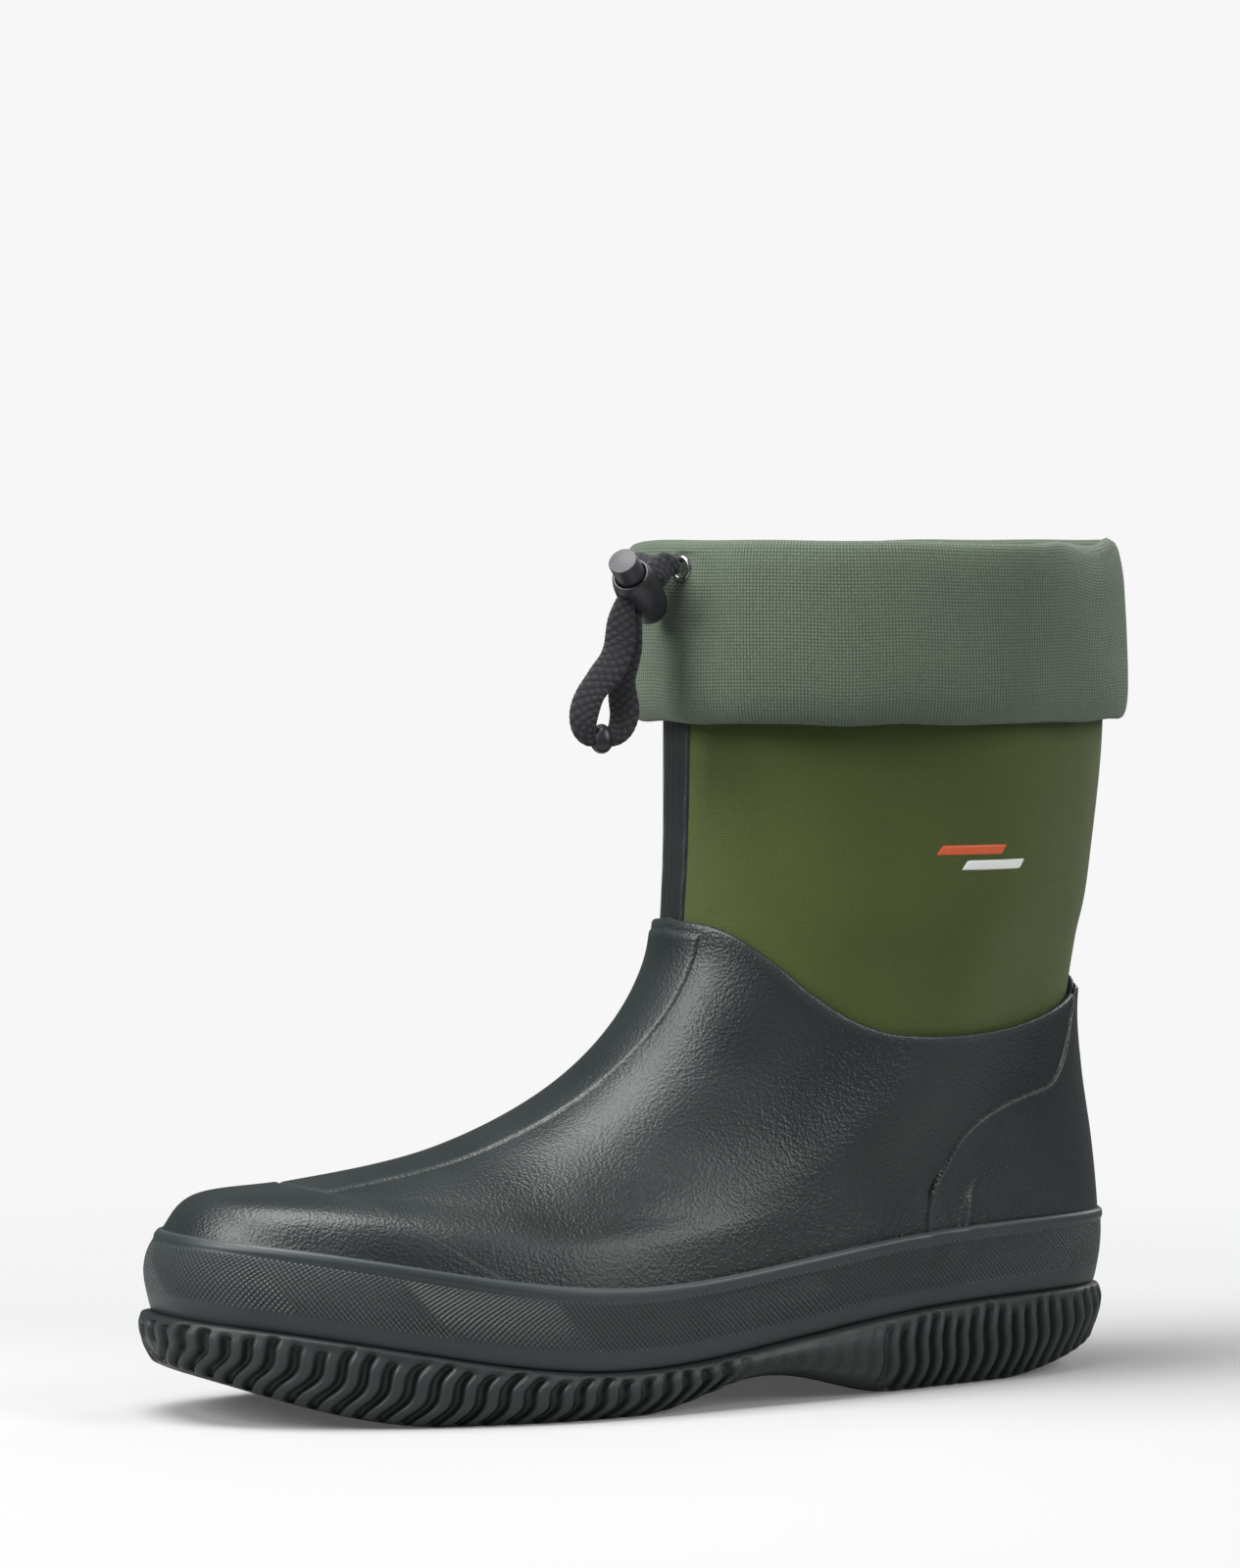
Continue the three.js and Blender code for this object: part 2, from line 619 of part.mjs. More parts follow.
// The cord casing: the ply turned over along the top, open along its inner foot.
const casingOut = out - 0.3;
const CASING_LIP = 1.1; // the turned-down inner side of the casing
const casingIn = casingOut - wall - CORD_FLAT.wall - CASING_LIP - 4 * GAP;
const eyeletLevel = BOOT_HEIGHT - EYELET.below;
const casingSection = [
  [casingOut, casingFoot + GAP],
  [casingOut, BOOT_HEIGHT - 5],
  [casingOut - 0.9, BOOT_HEIGHT - 1.8],
  [casingOut - 2.7, BOOT_HEIGHT],
  [casingIn + 1, BOOT_HEIGHT - 0.4],
  [casingIn, BOOT_HEIGHT - 2.4],
  [casingIn, casingFoot + GAP],
  [casingIn + CASING_LIP, casingFoot + GAP],
  [casingIn + CASING_LIP, BOOT_HEIGHT - 3],
  [casingIn + 1.8, BOOT_HEIGHT - 1.8],
  [casingOut - 2.7, BOOT_HEIGHT - 1.5],
  [casingOut - 1.7, BOOT_HEIGHT - 2.7],
  [casingOut - wall, BOOT_HEIGHT - 5.2],
  [casingOut - wall, casingFoot + GAP],
];
const casing = shaftRing(casingSection.map(([off, z]) => [off, z, off - CASING_HUG]));

// The column angle at which the casing's front has a given x.
function angleAtX(x) {
  let [low, high] = [-0.7, 0.7];
  for (let i = 0; i < 30; i += 1) {
    const middle = (low + high) / 2;
    if (shaftPoint(middle, eyeletLevel, casingOut).x < x) low = middle;
    else high = middle;
  }
  return (low + high) / 2;
}

// A turned piece or hole at an eyelet: its axis is +Y of the geometry, out of the casing.
function atEyelet(geometry, x, off) {
  const a = angleAtX(x);
  const normal = lastNormal(a, shaftV(a, eyeletLevel)).setZ(0).normalize();
  const turn = new THREE.Quaternion().setFromUnitVectors(new THREE.Vector3(0, 1, 0), normal);
  const place = shaftPoint(a, eyeletLevel, off);
  return geometry.applyQuaternion(turn).translate(place.x, place.y, place.z);
}

const holes = Object.values(EYELET_X).map((x) =>
  atEyelet(new THREE.CylinderGeometry(EYELET.neck + GAP, EYELET.neck + GAP, 3.4, 16), x, casingOut - 0.7),
);
add('gaiter_casing', cut(casing, ...holes), sageNylon());

// the drawcord lies flat in the casing, from one eyelet round the leg to the other
const flatLow = eyeletLevel - CORD_FLAT.width / 2;
const flatOff = casingIn + CASING_LIP + GAP;
const CORD_COLUMNS = [2, COLUMNS - 1];
const hemLoops = Array.from({ length: CORD_COLUMNS[1] - CORD_COLUMNS[0] + 1 }, (_, i) => {
  const a = rad((CORD_COLUMNS[0] + i) * COLUMN_DEG);
  const inside = flatOff - CASING_HUG * behind(a);
  return [
    shaftPoint(a, flatLow, inside),
    shaftPoint(a, flatLow, inside + CORD_FLAT.wall),
    shaftPoint(a, flatLow + CORD_FLAT.width, inside + CORD_FLAT.wall),
    shaftPoint(a, flatLow + CORD_FLAT.width, inside),
  ];
});
add('hem_drawcord', bodyOfRings(hemLoops, 'strips'), blackNylon());

// eyelets: a neck through the casing's wall under a round flange
for (const [side, x] of Object.entries(EYELET_X)) {
  const profile = [
    [EYELET.bore, -wall - 0.2],
    [EYELET.neck, -wall - 0.2],
    [EYELET.neck, 0.4],
    [EYELET.flange, 0.4],
    [EYELET.flange - 0.3, 0.4 + EYELET.wall],
    [EYELET.bore + 0.3, 0.6 + EYELET.wall],
    [EYELET.bore, 0.3 + EYELET.wall],
    [EYELET.bore, -wall - 0.2],
  ].map(([r, y]) => new THREE.Vector2(r, y));
  const geometry = atEyelet(new THREE.LatheGeometry(profile, 20), x, casingOut);
  add(`eyelet_${side}`, geometry, steel());
}

// ---------------------------------------------------------------- cord lock

// What hangs from the gaiter keeps its place at the middle of the gaiter's front.
const FRONT = { y: -1.2, z: 250 };
const hanging = new THREE.Group();
hanging.position.set(0, shaftPoint(0, eyeletLevel, casingOut).y - FRONT.y, BOOT_HEIGHT - FRONT.z);
boot.add(hanging);

// The lock's own frame: Y along the barrel towards its button, Z along the cord as it goes
// down through the lock, X across both.
const lockAngle = rad(LOCK_ANGLE);
const cordWay = new THREE.Vector3(0, -Math.cos(lockAngle), -Math.sin(lockAngle));
const barrelAxis = new THREE.Vector3(0.504, -0.641, 0.579);
barrelAxis.addScaledVector(cordWay, -barrelAxis.dot(cordWay)).normalize();
const crossWay = barrelAxis.clone().cross(cordWay);
const lock = new THREE.Group();
lock.quaternion.setFromRotationMatrix(new THREE.Matrix4().makeBasis(crossWay, barrelAxis, cordWay));
lock.position.set(
  LOCK_X,
  CORD_BEND.y - CORD_BEND.radius * Math.sin(lockAngle),
  CORD_BEND.z + CORD_BEND.radius * Math.cos(lockAngle),
);
hanging.add(lock);

const turned = (profile, sides) =>
  new THREE.LatheGeometry(
    profile.map(([r, y]) => new THREE.Vector2(r, y)),
    sides,
  );

const barrelShape = turned(
  [
    [0, BARREL.bottom],
    [2.2, BARREL.bottom + 0.2],
    [4.0, BARREL.bottom + 1.2],
    [5.3, BARREL.bottom + 3.6],
    [6.1, BARREL.bottom + 7],
    [6.35, BARREL.bottom + 11],
    [6.1, BARREL.mouth - 3],
    [5.6, BARREL.mouth],
    [BARREL.bore, BARREL.mouth],
    [BARREL.bore, BARREL.shoulder],
    [BARREL.pocket, BARREL.shoulder],
    [BARREL.pocket, BARREL.floor],
    [0, BARREL.floor],
  ],
  20,
);
const barrelSlot = new THREE.BoxGeometry(SLOT.width, SLOT.height, 20);
add('lock_barrel', cut(barrelShape, barrelSlot), blackPlastic(), lock);

const buttonRadius = BARREL.bore - GAP;
const buttonFoot = BUTTON.slotLow - BUTTON.wall;
const buttonSlot = BUTTON.slotHigh - BUTTON.slotLow;
const buttonShape = turned(
  [
    [0, buttonFoot],
    [buttonRadius, buttonFoot],
    [buttonRadius, BUTTON.top - 0.8],
    [buttonRadius - 0.6, BUTTON.top],
    [0, BUTTON.top],
  ],
  20,
);
const buttonHole = new THREE.BoxGeometry(SLOT.width, buttonSlot, 20);
buttonHole.translate(0, BUTTON.slotLow + buttonSlot / 2, 0);
add('lock_button', cut(buttonShape, buttonHole), blackPlastic(), lock);

// the spring under the button, at the length it has when the button is pressed home
class Helix extends THREE.Curve {
  constructor(radius, low, high, turns) {
    super();
    Object.assign(this, { radius, low, high, turns });
  }

  getPoint(t, target = new THREE.Vector3()) {
    const turn = 2 * Math.PI * this.turns * t;
    const y = THREE.MathUtils.lerp(this.low, this.high, t);
    return target.set(this.radius * Math.cos(turn), y, this.radius * Math.sin(turn));
  }
}

const circle = (radius, sides) =>
  new THREE.Shape(
    Array.from({ length: sides }, (_, i) => {
      const turn = (2 * Math.PI * i) / sides;
      return new THREE.Vector2(radius * Math.cos(turn), radius * Math.sin(turn));
    }),
  );
const tube = (curve, radius, sides, count) =>
  new THREE.ExtrudeGeometry(circle(radius, sides), { extrudePath: curve, steps: count, bevelEnabled: false });

const springLow = BARREL.floor + GAP + SPRING.wire;
const springHigh = buttonFoot - BUTTON_TRAVEL - GAP - SPRING.wire;
add(
  'lock_spring',
  tube(new Helix(SPRING.radius, springLow, springHigh, SPRING.turns), SPRING.wire, 8, 60),
  steel(),
  lock,
);

// ---------------------------------------------------------------- free drawcord and its bead

// From the outer eyelet through the lock, down to the bead, back up and to the inner eyelet.
const CORD_POINTS = [
  [17.2, -0.4, 241.3],
  [17.8, -2.4, 241.6],
  [18.9, -5.0, 241.4],
  [19.9, -8.6, 240.3],
  [19.9, -14.2, 236.2],
  [19.9, -17.7, 231.0],
  [19.9, -19.1, 226.3],
  [19.9, -19.4, 222.0],
  [19.8, -20.1, 217.8],
  [19.6, -21.9, 213.4],
  [19.2, -25.5, 209.0],
  [18.8, -28.8, 204.5],
  [18.5, -30.6, 199.0],
  [18.3, -30.3, 194.9],
  [18.2, -28.3, 192.5],
  [18.2, -24.7, 191.9],
  [18.2, -21.2, 192.4],
  [18.2, -18.6, 194.8],
  [18.2, -17.2, 199.2],
  [18.1, -17.7, 204.0],
  [18.1, -18.2, 209.0],
  [18.1, -17.4, 214.0],
  [18.1, -16.3, 218.5],
  [18.1, -16.1, 222.9],
  [18.1, -15.8, 225.7],
  [18.1, -14.5, 229.8],
  [18.1, -11.8, 233.9],
  [18.1, -8.2, 236.9],
  [17.7, -6.2, 238.6],
  [14.5, -5.3, 239.9],
  [9.0, -5.4, 240.6],
  [3.0, -5.8, 241.0],
  [-2.0, -5.6, 241.1],
  [-5.2, -4.4, 241.1],
  [-6.0, -2.0, 241.0],
].map((p) => new THREE.Vector3(...p));
const cordLine = new THREE.CatmullRomCurve3(CORD_POINTS, false, 'centripetal');
add('drawcord_tail', tube(cordLine, CORD / 2, 8, 50), blackNylon(), hanging);

const BEAD_AT = new THREE.Vector3(18.2, -24.7, 191.95);
const halfTurn = Array.from({ length: 9 }, (_, i) => {
  const turn = Math.PI * (i / 8 - 0.5);
  return [i % 8 === 0 ? 0 : BEAD.radius * Math.cos(turn), BEAD.halfHeight * Math.sin(turn)];
});
const beadShape = turned(halfTurn, 16).rotateX(Math.PI / 2);
const beadBore = new THREE.CylinderGeometry(BEAD.bore, BEAD.bore, 20, 12);
const bead = cut(beadShape, beadBore).translate(...BEAD_AT.toArray());
add('cord_bead', bead, blackPlastic(), hanging);

// ---------------------------------------------------------------- origin

// The origin is on the floor, in the middle of the boot without its cord.
const CORD_PIECES = ['drawcord_tail', 'cord_bead', 'lock_barrel', 'lock_button', 'lock_spring'];
boot.updateMatrixWorld(true);
const extent = new THREE.Box3();
boot.traverse((piece) => {
  if (piece.isMesh && !CORD_PIECES.includes(piece.name)) extent.expandByObject(piece);
});
const middle = extent.getCenter(new THREE.Vector3());
boot.position.set(-middle.x, -middle.y, -extent.min.z);

export default boot;
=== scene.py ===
"""An insulated left boot: a moulded rubber foot over a neoprene bootie, with a fold-down
nylon gaiter that a drawcord and a cord lock close.

Shapes are worked out in millimetres in the maker's frame: +Z up, toes towards -Y, the outer
side of the foot towards +X. Angles go round the foot from the toe, a quarter turn at the
outer side, and v goes up the last from the feather line (0) to the top (1).
"""

import bmesh
import bpy
import numpy as np
from mathutils import Matrix, Vector


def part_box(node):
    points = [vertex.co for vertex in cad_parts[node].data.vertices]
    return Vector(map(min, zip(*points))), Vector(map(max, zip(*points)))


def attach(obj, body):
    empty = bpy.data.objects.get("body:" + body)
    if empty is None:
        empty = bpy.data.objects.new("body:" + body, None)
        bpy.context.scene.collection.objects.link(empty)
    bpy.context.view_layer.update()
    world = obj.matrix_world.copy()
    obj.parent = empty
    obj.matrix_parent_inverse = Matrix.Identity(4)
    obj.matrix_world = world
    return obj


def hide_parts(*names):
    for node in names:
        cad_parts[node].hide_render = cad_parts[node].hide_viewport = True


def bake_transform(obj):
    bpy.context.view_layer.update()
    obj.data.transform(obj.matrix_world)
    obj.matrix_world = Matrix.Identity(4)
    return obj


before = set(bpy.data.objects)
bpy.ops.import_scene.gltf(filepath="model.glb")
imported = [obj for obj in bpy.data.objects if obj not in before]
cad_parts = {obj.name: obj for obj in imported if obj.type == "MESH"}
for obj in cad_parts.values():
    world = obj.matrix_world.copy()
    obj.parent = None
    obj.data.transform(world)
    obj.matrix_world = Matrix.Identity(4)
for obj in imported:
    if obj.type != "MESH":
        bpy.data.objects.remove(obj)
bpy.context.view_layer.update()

MM = 0.001
SHANK_HEEL_END = 76  # the shank ends here in the maker's frame, which places that frame
SHIFT = np.array([0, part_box("shank")[1][1] / MM - SHANK_HEEL_END, 0])

# ---------------------------------------------------------------- sizes

FOXING = 2.5
FOXING_BEAD = 0.6
FOXING_TOP = 0.2
RUBBER = 2.2
BOOTIE_OFF = 2.5
NEOPRENE = 4
LINING_OFF = 6.8
LINING = 1.5
BOOTIE_TOP = 240
FOLD = 196
GAITER_TOP = 250
OVERLAY = 0.9
BARREL_BORE = 4.6
BUTTON_RADIUS = 4.3
EYELETS = {"eyelet_lateral": 17, "eyelet_medial": -6}
EYELET_LEVEL = 241
GAITER_FACE = 9.7
CORD_WIDTH = 8.8
CORD_WALL = 2.7
CORD_IN_LOCK = 4.6
CORD_IN_BEAD = 4.0
BEAD_AT = np.array([18.2, -24.7, 191.95])
LOCK_ANGLE = np.radians(47.6)
LOCK_AT = np.array([19, 0.3 - 18 * np.sin(LOCK_ANGLE), 222.85 + 18 * np.cos(LOCK_ANGLE)])
BARREL_WAY = np.array([0.504, -0.641, 0.579])


def unit(v):
    return v / np.linalg.norm(v, axis=-1, keepdims=True)


def mix(a, b, share):
    return a + (b - a) * share


def smooth(x):
    """Rises from 0 to 1 with level ends as x goes from 0 to 1."""
    x = np.clip(x, 0, 1)
    return x * x * (3 - 2 * x)


def hump(x, middle, width):
    """A bell curve, 1 at the middle."""
    return np.exp(-(((x - middle) / width) ** 2))


def place(points):
    """From millimetres in the maker's frame to metres in the row's."""
    return (np.asarray(points, float) + SHIFT) * MM


def through(rows):
    """A smooth curve through rows [x, ...]: cubic, each slope weighed from its neighbours'."""
    rows = np.array(rows, float)
    x, y = rows[:, 0], rows[:, 1:]
    h = np.diff(x)[:, None]
    slope = np.diff(y, axis=0) / h
    inner = (slope[:-1] * h[1:] + slope[1:] * h[:-1]) / (h[:-1] + h[1:])
    tangent = np.vstack([slope[:1], inner, slope[-1:]])

    def at(value):
        i = np.clip(np.searchsorted(x, value, side="right") - 1, 0, len(x) - 2)
        step = (x[i + 1] - x[i])[..., None]
        t = (np.asarray(value, float) - x[i])[..., None] / step
        start = y[i] * (1 + 2 * t) * (1 - t) ** 2 + tangent[i] * step * t * (1 - t) ** 2
        return start + y[i + 1] * t * t * (3 - 2 * t) + tangent[i + 1] * step * t * t * (t - 1)

    return at


def even(points, count):
    """The same line with its points the same length apart."""
    length = np.insert(np.cumsum(np.linalg.norm(np.diff(points, axis=0), axis=1)), 0, 0)
    at = np.linspace(0, length[-1], count)
    return np.stack([np.interp(at, length, column) for column in points.T], axis=1)


def spline(points, count):
    """A smooth curve through points, its knots the square root of their distance apart."""
    points = np.array(points, float)
    steps = np.linalg.norm(np.diff(points, axis=0), axis=1) ** 0.5
    knots = np.insert(np.cumsum(steps), 0, 0)
    curve = through(np.column_stack([knots, points]))
    return even(curve(np.linspace(0, knots[-1], count * 4)), count)


def rounded(points, radius, count=5):
    """A chain of corners with each corner cut by a parabola that starts a radius from it."""
    points = np.array(points, float)
    line = [points[:1]]
    t = np.linspace(0, 1, count)[:, None]
    for before, corner, after in zip(points, points[1:], points[2:]):
        reach = min(radius, np.linalg.norm(corner - before) * 0.49, np.linalg.norm(after - corner) * 0.49)
        start = corner + unit(before - corner) * reach
        end = corner + unit(after - corner) * reach
        line.append(start * (1 - t) ** 2 + corner * 2 * t * (1 - t) + end * t * t)
    return np.vstack([*line, points[-1:]])


# ---------------------------------------------------------------- the last

# v, toe end y and z, heel end y and z, sag, half widths at ball, waist and heel,
# roundness of the front and back halves, and how much the section bends like a foot
SECTION = through([
    [0.0, -149, 32, 149, 25, 16, 50, 38.5, 37, 2.5, 2.4, 1],
    [0.1, -151, 45, 151, 36, 16, 51.5, 40, 38.5, 2.5, 2.4, 1],
    [0.2, -146, 54.5, 151, 47, 15, 51, 40, 38.5, 2.5, 2.4, 1],
    [0.27, -137, 63.5, 150, 58, 13, 48, 39.5, 38, 2.4, 2.4, 0.95],
    [0.34, -112, 65.5, 148.5, 69, 10, 43, 39, 37, 2.3, 2.4, 0.85],
    [0.46, -64, 73, 145, 90, 5, 38, 40, 36.5, 2.2, 2.3, 0.6],
    [0.58, -24, 91, 143, 110, 0, 39, 42, 38, 2.1, 2.2, 0.3],
    [0.7, 1, 118, 145, 129, 0, 44, 46.5, 42, 2.1, 2.1, 0.08],
    [0.82, 7, 150, 149, 153, 0, 50, 53, 49.5, 2, 2, 0],
    [0.9, 8, 195, 152.6, 195, 0, 53.6, 56.2, 53.6, 2, 2, 0],
    [1.0, 8.5, 250, 148.5, 250, 0, 54, 56.5, 53.4, 2, 2, 0],
])
RUBBER_EDGE = through([
    [0, 0.786], [30, 0.768], [60, 0.682], [90, 0.599], [115, 0.572], [150, 0.593], [180, 0.635],
])


def last(a, v):
    """The last: a ring of superellipse halves between a toe end and a heel end, whose
    half width runs from ball to waist to heel and whose middle line bends like a foot."""
    a, v = np.broadcast_arrays(np.asarray(a, float), np.asarray(v, float))
    toe_y, toe_z, heel_y, heel_z, sag, ball, waist, heel, front, back, foot = np.moveaxis(SECTION(v), -1, 0)
    power = 2 / np.where(np.cos(a) > 0, front, back)
    t = (1 - np.sign(np.cos(a)) * np.abs(np.cos(a)) ** power) / 2
    side = np.sign(np.sin(a)) * np.abs(np.sin(a)) ** power
    width = mix(mix(ball, waist, smooth((t - 0.3) / 0.28)), heel, smooth((t - 0.58) / 0.26))
    bend = 4.5 * hump(t, 0.55, 0.16) - 11 * np.clip((0.34 - t) / 0.34, 0, None) ** 1.6
    z = mix(toe_z, heel_z, t) - sag * hump(t, 0.38, 0.28)
    return np.stack([foot * bend + width * side, mix(toe_y, heel_y, t), z], axis=-1)


def out_of(a, v):
    """The way out of the last, square to it, from its slopes round and up."""
    a, v = np.broadcast_arrays(np.asarray(a, float), np.asarray(v, float))
    step = 0.004
    up = last(a, np.minimum(1, v + step)) - last(a, np.maximum(0, v - step))
    return unit(np.cross(last(a + step, v) - last(a - step, v), up))


def skin(a, v, off):
    """Points that stand off the last, straight out, and level out at the feather line."""
    a, v, off = np.broadcast_arrays(a, v, off)
    out = out_of(a, v)
    out[..., 2] *= smooth(v / 0.04)
    return last(a, v) + unit(out) * off[..., None]


def shaft_v(a, z):
    """The height v at which the shaft reaches level z, by halving."""
    a, z = np.broadcast_arrays(np.asarray(a, float), np.asarray(z, float))
    low, high = np.full(a.shape, 0.6), np.ones(a.shape)
    for _ in range(24):
        middle = (low + high) / 2
        below = last(a, middle)[..., 2] < z
        low, high = np.where(below, middle, low), np.where(below, high, middle)
    return (low + high) / 2


def shaft(a, z, off):
    """Points of the shaft at level z, standing off it level."""
    a, z, off = np.broadcast_arrays(a, z, off)
    v = shaft_v(a, np.minimum(z, GAITER_TOP))
    out = out_of(a, v)
    out[..., 2] = 0
    points = last(a, v) + unit(out) * off[..., None]
    points[..., 2] = z
    return points


def from_toe(a):
    return np.degrees(np.abs(np.arctan2(np.sin(a), np.cos(a))))


def edge_of(a):
    return RUBBER_EDGE(from_toe(a))[..., 0]


def turns(count, start=-140):
    """Angles once round, with the seam at the back of the inner side."""
    return np.radians(np.linspace(start, start + 360, count + 1))


def even_turns(count):
    """Angles once round the feather line from the toe, the same length apart."""
    a = np.linspace(0, 2 * np.pi, 2001)
    line = last(a, np.zeros_like(a))
    length = np.insert(np.cumsum(np.linalg.norm(np.diff(line, axis=0), axis=1)), 0, 0)
    return np.interp(np.linspace(0, length[-1], count + 1), length, a), length[-1]


# ---------------------------------------------------------------- meshes


def measured(grid):
    """Millimetres along the columns and rows of a grid, each its mean over the other way."""
    along = np.linalg.norm(np.diff(grid, axis=1), axis=2).mean(axis=0)
    up = np.linalg.norm(np.diff(grid, axis=0), axis=2).mean(axis=1)
    u, v = np.insert(np.cumsum(along), 0, 0), np.insert(np.cumsum(up), 0, 0)
    return np.stack(np.meshgrid(u, v), axis=-1)


def surface(name, grid, around=False, loop=False, uv=None, rub=None):
    """A mesh from a grid of points in millimetres. Around joins the last column to the
    first and loop the last row to the first: a grid repeats its column, not its row."""
    if loop:
        grid = np.concatenate([grid, grid[:1]])
        rub = None if rub is None else np.concatenate([rub, rub[:1]])
    uv = measured(grid) if uv is None else uv
    rows, columns = grid.shape[0], grid.shape[1]
    row, column = np.meshgrid(np.arange(rows - 1), np.arange(columns - 1), indexing="ij")
    corners = np.stack([(row, column), (row, column + 1), (row + 1, column + 1), (row + 1, column)], axis=0)
    at = corners[:, 0] * columns + corners[:, 1]
    faces = at.reshape(4, -1).T
    kept_rows = rows - 1 if loop else rows
    kept_columns = columns - 1 if around else columns
    index = (np.arange(rows) % kept_rows)[:, None] * kept_columns + np.arange(columns) % kept_columns
    flat_index = index.reshape(-1)
    points = place(grid[:kept_rows, :kept_columns].reshape(-1, 3))
    corner_points = points[flat_index[faces]]
    volume = np.einsum("ij,ij->", corner_points[:, 0], np.cross(corner_points[:, 1], corner_points[:, 2]))
    volume += np.einsum("ij,ij->", corner_points[:, 0], np.cross(corner_points[:, 2], corner_points[:, 3]))
    if volume < 0:
        faces = faces[:, ::-1]
    mesh = bpy.data.meshes.new(name)
    mesh.vertices.add(len(points))
    mesh.vertices.foreach_set("co", points.reshape(-1))
    mesh.loops.add(faces.size)
    mesh.loops.foreach_set("vertex_index", flat_index[faces].reshape(-1).astype(np.int32))
    mesh.polygons.add(len(faces))
    mesh.polygons.foreach_set("loop_start", np.arange(0, faces.size, 4, dtype=np.int32))
    mesh.update(calc_edges=True)
    mesh.uv_layers.new(name="laid").data.foreach_set("uv", uv.reshape(-1, 2)[faces].reshape(-1))
    # This attribute carries painted light: painted highlights on edges, ridges, the heel rib and strand
    # crowns, and painted shade in grooves.
    painted_light_values = np.zeros(len(points)) if rub is None else rub[:kept_rows, :kept_columns].reshape(-1)
    mesh.attributes.new("rub", "FLOAT", "POINT").data.foreach_set("value", painted_light_values.astype(np.float32))
    made = bpy.data.objects.new(name, mesh)
    bpy.context.collection.objects.link(made)
    close(made)
    return made


def close(piece):
    """Merges what a pole or a seam doubles, and shades the piece smooth."""
    made = bmesh.new()
    made.from_mesh(piece.data)
    bmesh.ops.remove_doubles(made, verts=made.verts, dist=2e-7)
    bmesh.ops.dissolve_degenerate(made, edges=made.edges, dist=1e-8)
    made.to_mesh(piece.data)
    made.free()
    piece.data.shade_smooth()


def joined(rows):
    """Grids stacked into one, row over row."""
    return np.concatenate(rows, axis=0)


def finish(piece, body, material, *nodes, slot):
    """A piece's finish, the body it rides on and the nodes that it stands for."""
    piece.data.materials.clear()
    piece.data.materials.append(material)
    if body:
        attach(piece, body)
    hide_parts(*nodes)
    return piece


def lathe(name, profile, frame_of, sides=64):
    """A profile [radius, height] turned once about the height axis of a frame (origin, axis)."""
    origin, axis = frame_of
    axis = unit(np.array(axis, float))
    across = unit(np.cross(axis, [0.3, 0.2, 1] if abs(axis[2]) < 0.9 else [1, 0, 0]))
    other = np.cross(axis, across)
    a = np.linspace(0, 2 * np.pi, sides + 1)[None, :, None]
    radius, height = profile[:, 0][:, None, None], profile[:, 1][:, None, None]
    grid = origin + height * axis + radius * (np.cos(a) * across + np.sin(a) * other)
    return surface(name, grid, around=True)


def pierce(piece, at, ways, size):
    """Cuts a straight hole through a piece: a box of a size, turned to three ways."""
    bpy.ops.mesh.primitive_cube_add(size=1)
    cutter = bpy.context.object
    turn = Matrix([*zip(*ways)]).to_4x4()
    cutter.data.transform(Matrix.Diagonal((*(np.array(size) * MM), 1)))
    cutter.data.transform(turn)
    cutter.data.transform(Matrix.Translation(Vector(place(at))))
    rounding = cutter.modifiers.new("round", "BEVEL")
    rounding.width, rounding.segments = min(size[:2]) * 0.3 * MM, 4
    hole = piece.modifiers.new("hole", "BOOLEAN")
    hole.object, hole.solver = cutter, "EXACT"
    graph = bpy.context.evaluated_depsgraph_get()
    cut = bpy.data.meshes.new_from_object(piece.evaluated_get(graph))
    piece.modifiers.clear()
    old, piece.data = piece.data, cut
    bpy.data.meshes.remove(old)
    bpy.data.objects.remove(cutter)
    piece.data.shade_smooth()
    piece.data.set_sharp_from_angle(angle=np.radians(38))


# ---------------------------------------------------------------- finishes


def linear(colour):
    """A hex sRGB colour as linear light, with alpha."""
    part = np.array([int(colour[i:i + 2], 16) for i in (1, 3, 5)]) / 255
    return (*np.where(part <= 0.04045, part / 12.92, ((part + 0.055) / 1.055) ** 2.4), 1)


def add(tree, kind, inputs=(), out=0, **settings):
    """One node: its settings, and its inputs in order or by name, each a value or an output
    to link. It gives one of its outputs."""
    made = tree.nodes.new("ShaderNode" + kind)
    for name, value in settings.items():
        setattr(made, name, value)
    for name, value in inputs.items() if isinstance(inputs, dict) else enumerate(inputs):
        if isinstance(value, bpy.types.NodeSocket):
            tree.links.new(value, made.inputs[name])
        else:
            made.inputs[name].default_value = value
    return made.outputs[out]


def grain(where, mm, detail=3, roughness=0.55):
    """What a noise needs for a grain of so many millimetres, on coordinates in metres."""
    return {"Vector": where, "Scale": 1 / (mm * MM), "Detail": detail, "Roughness": roughness}


def made_of(name, dark, light, pattern, **sockets):
    """A Principled finish. Its pattern gives the share of the light colour, the range that
    its roughness follows, if any, and its relief as layers of (height, depth in mm)."""
    material = bpy.data.materials.new(name)
    material.use_nodes = True
    tree = material.node_tree
    shader = tree.nodes["Principled BSDF"]
    for socket, value in sockets.items():
        shader.inputs[socket.replace("_", " ").title().replace("Ior", "IOR")].default_value = value
    share, rough, relief = pattern(tree, add(tree, "TexCoord", out="Object"))
    colour = add(tree, "Mix", {0: share, 6: linear(dark), 7: linear(light)}, out=2, data_type="RGBA")
    tree.links.new(colour, shader.inputs["Base Color"])
    if rough:
        tree.links.new(add(tree, "MapRange", rough), shader.inputs["Roughness"])
    normal = None
    for height, depth in relief:
        inputs = {"Height": height, "Distance": depth * MM, "Strength": 1.0}
        if normal:
            inputs["Normal"] = normal
        normal = add(tree, "Bump", inputs)
    tree.links.new(normal, shader.inputs["Normal"])
    material.diffuse_color = shader.inputs["Base Color"].default_value
    return material


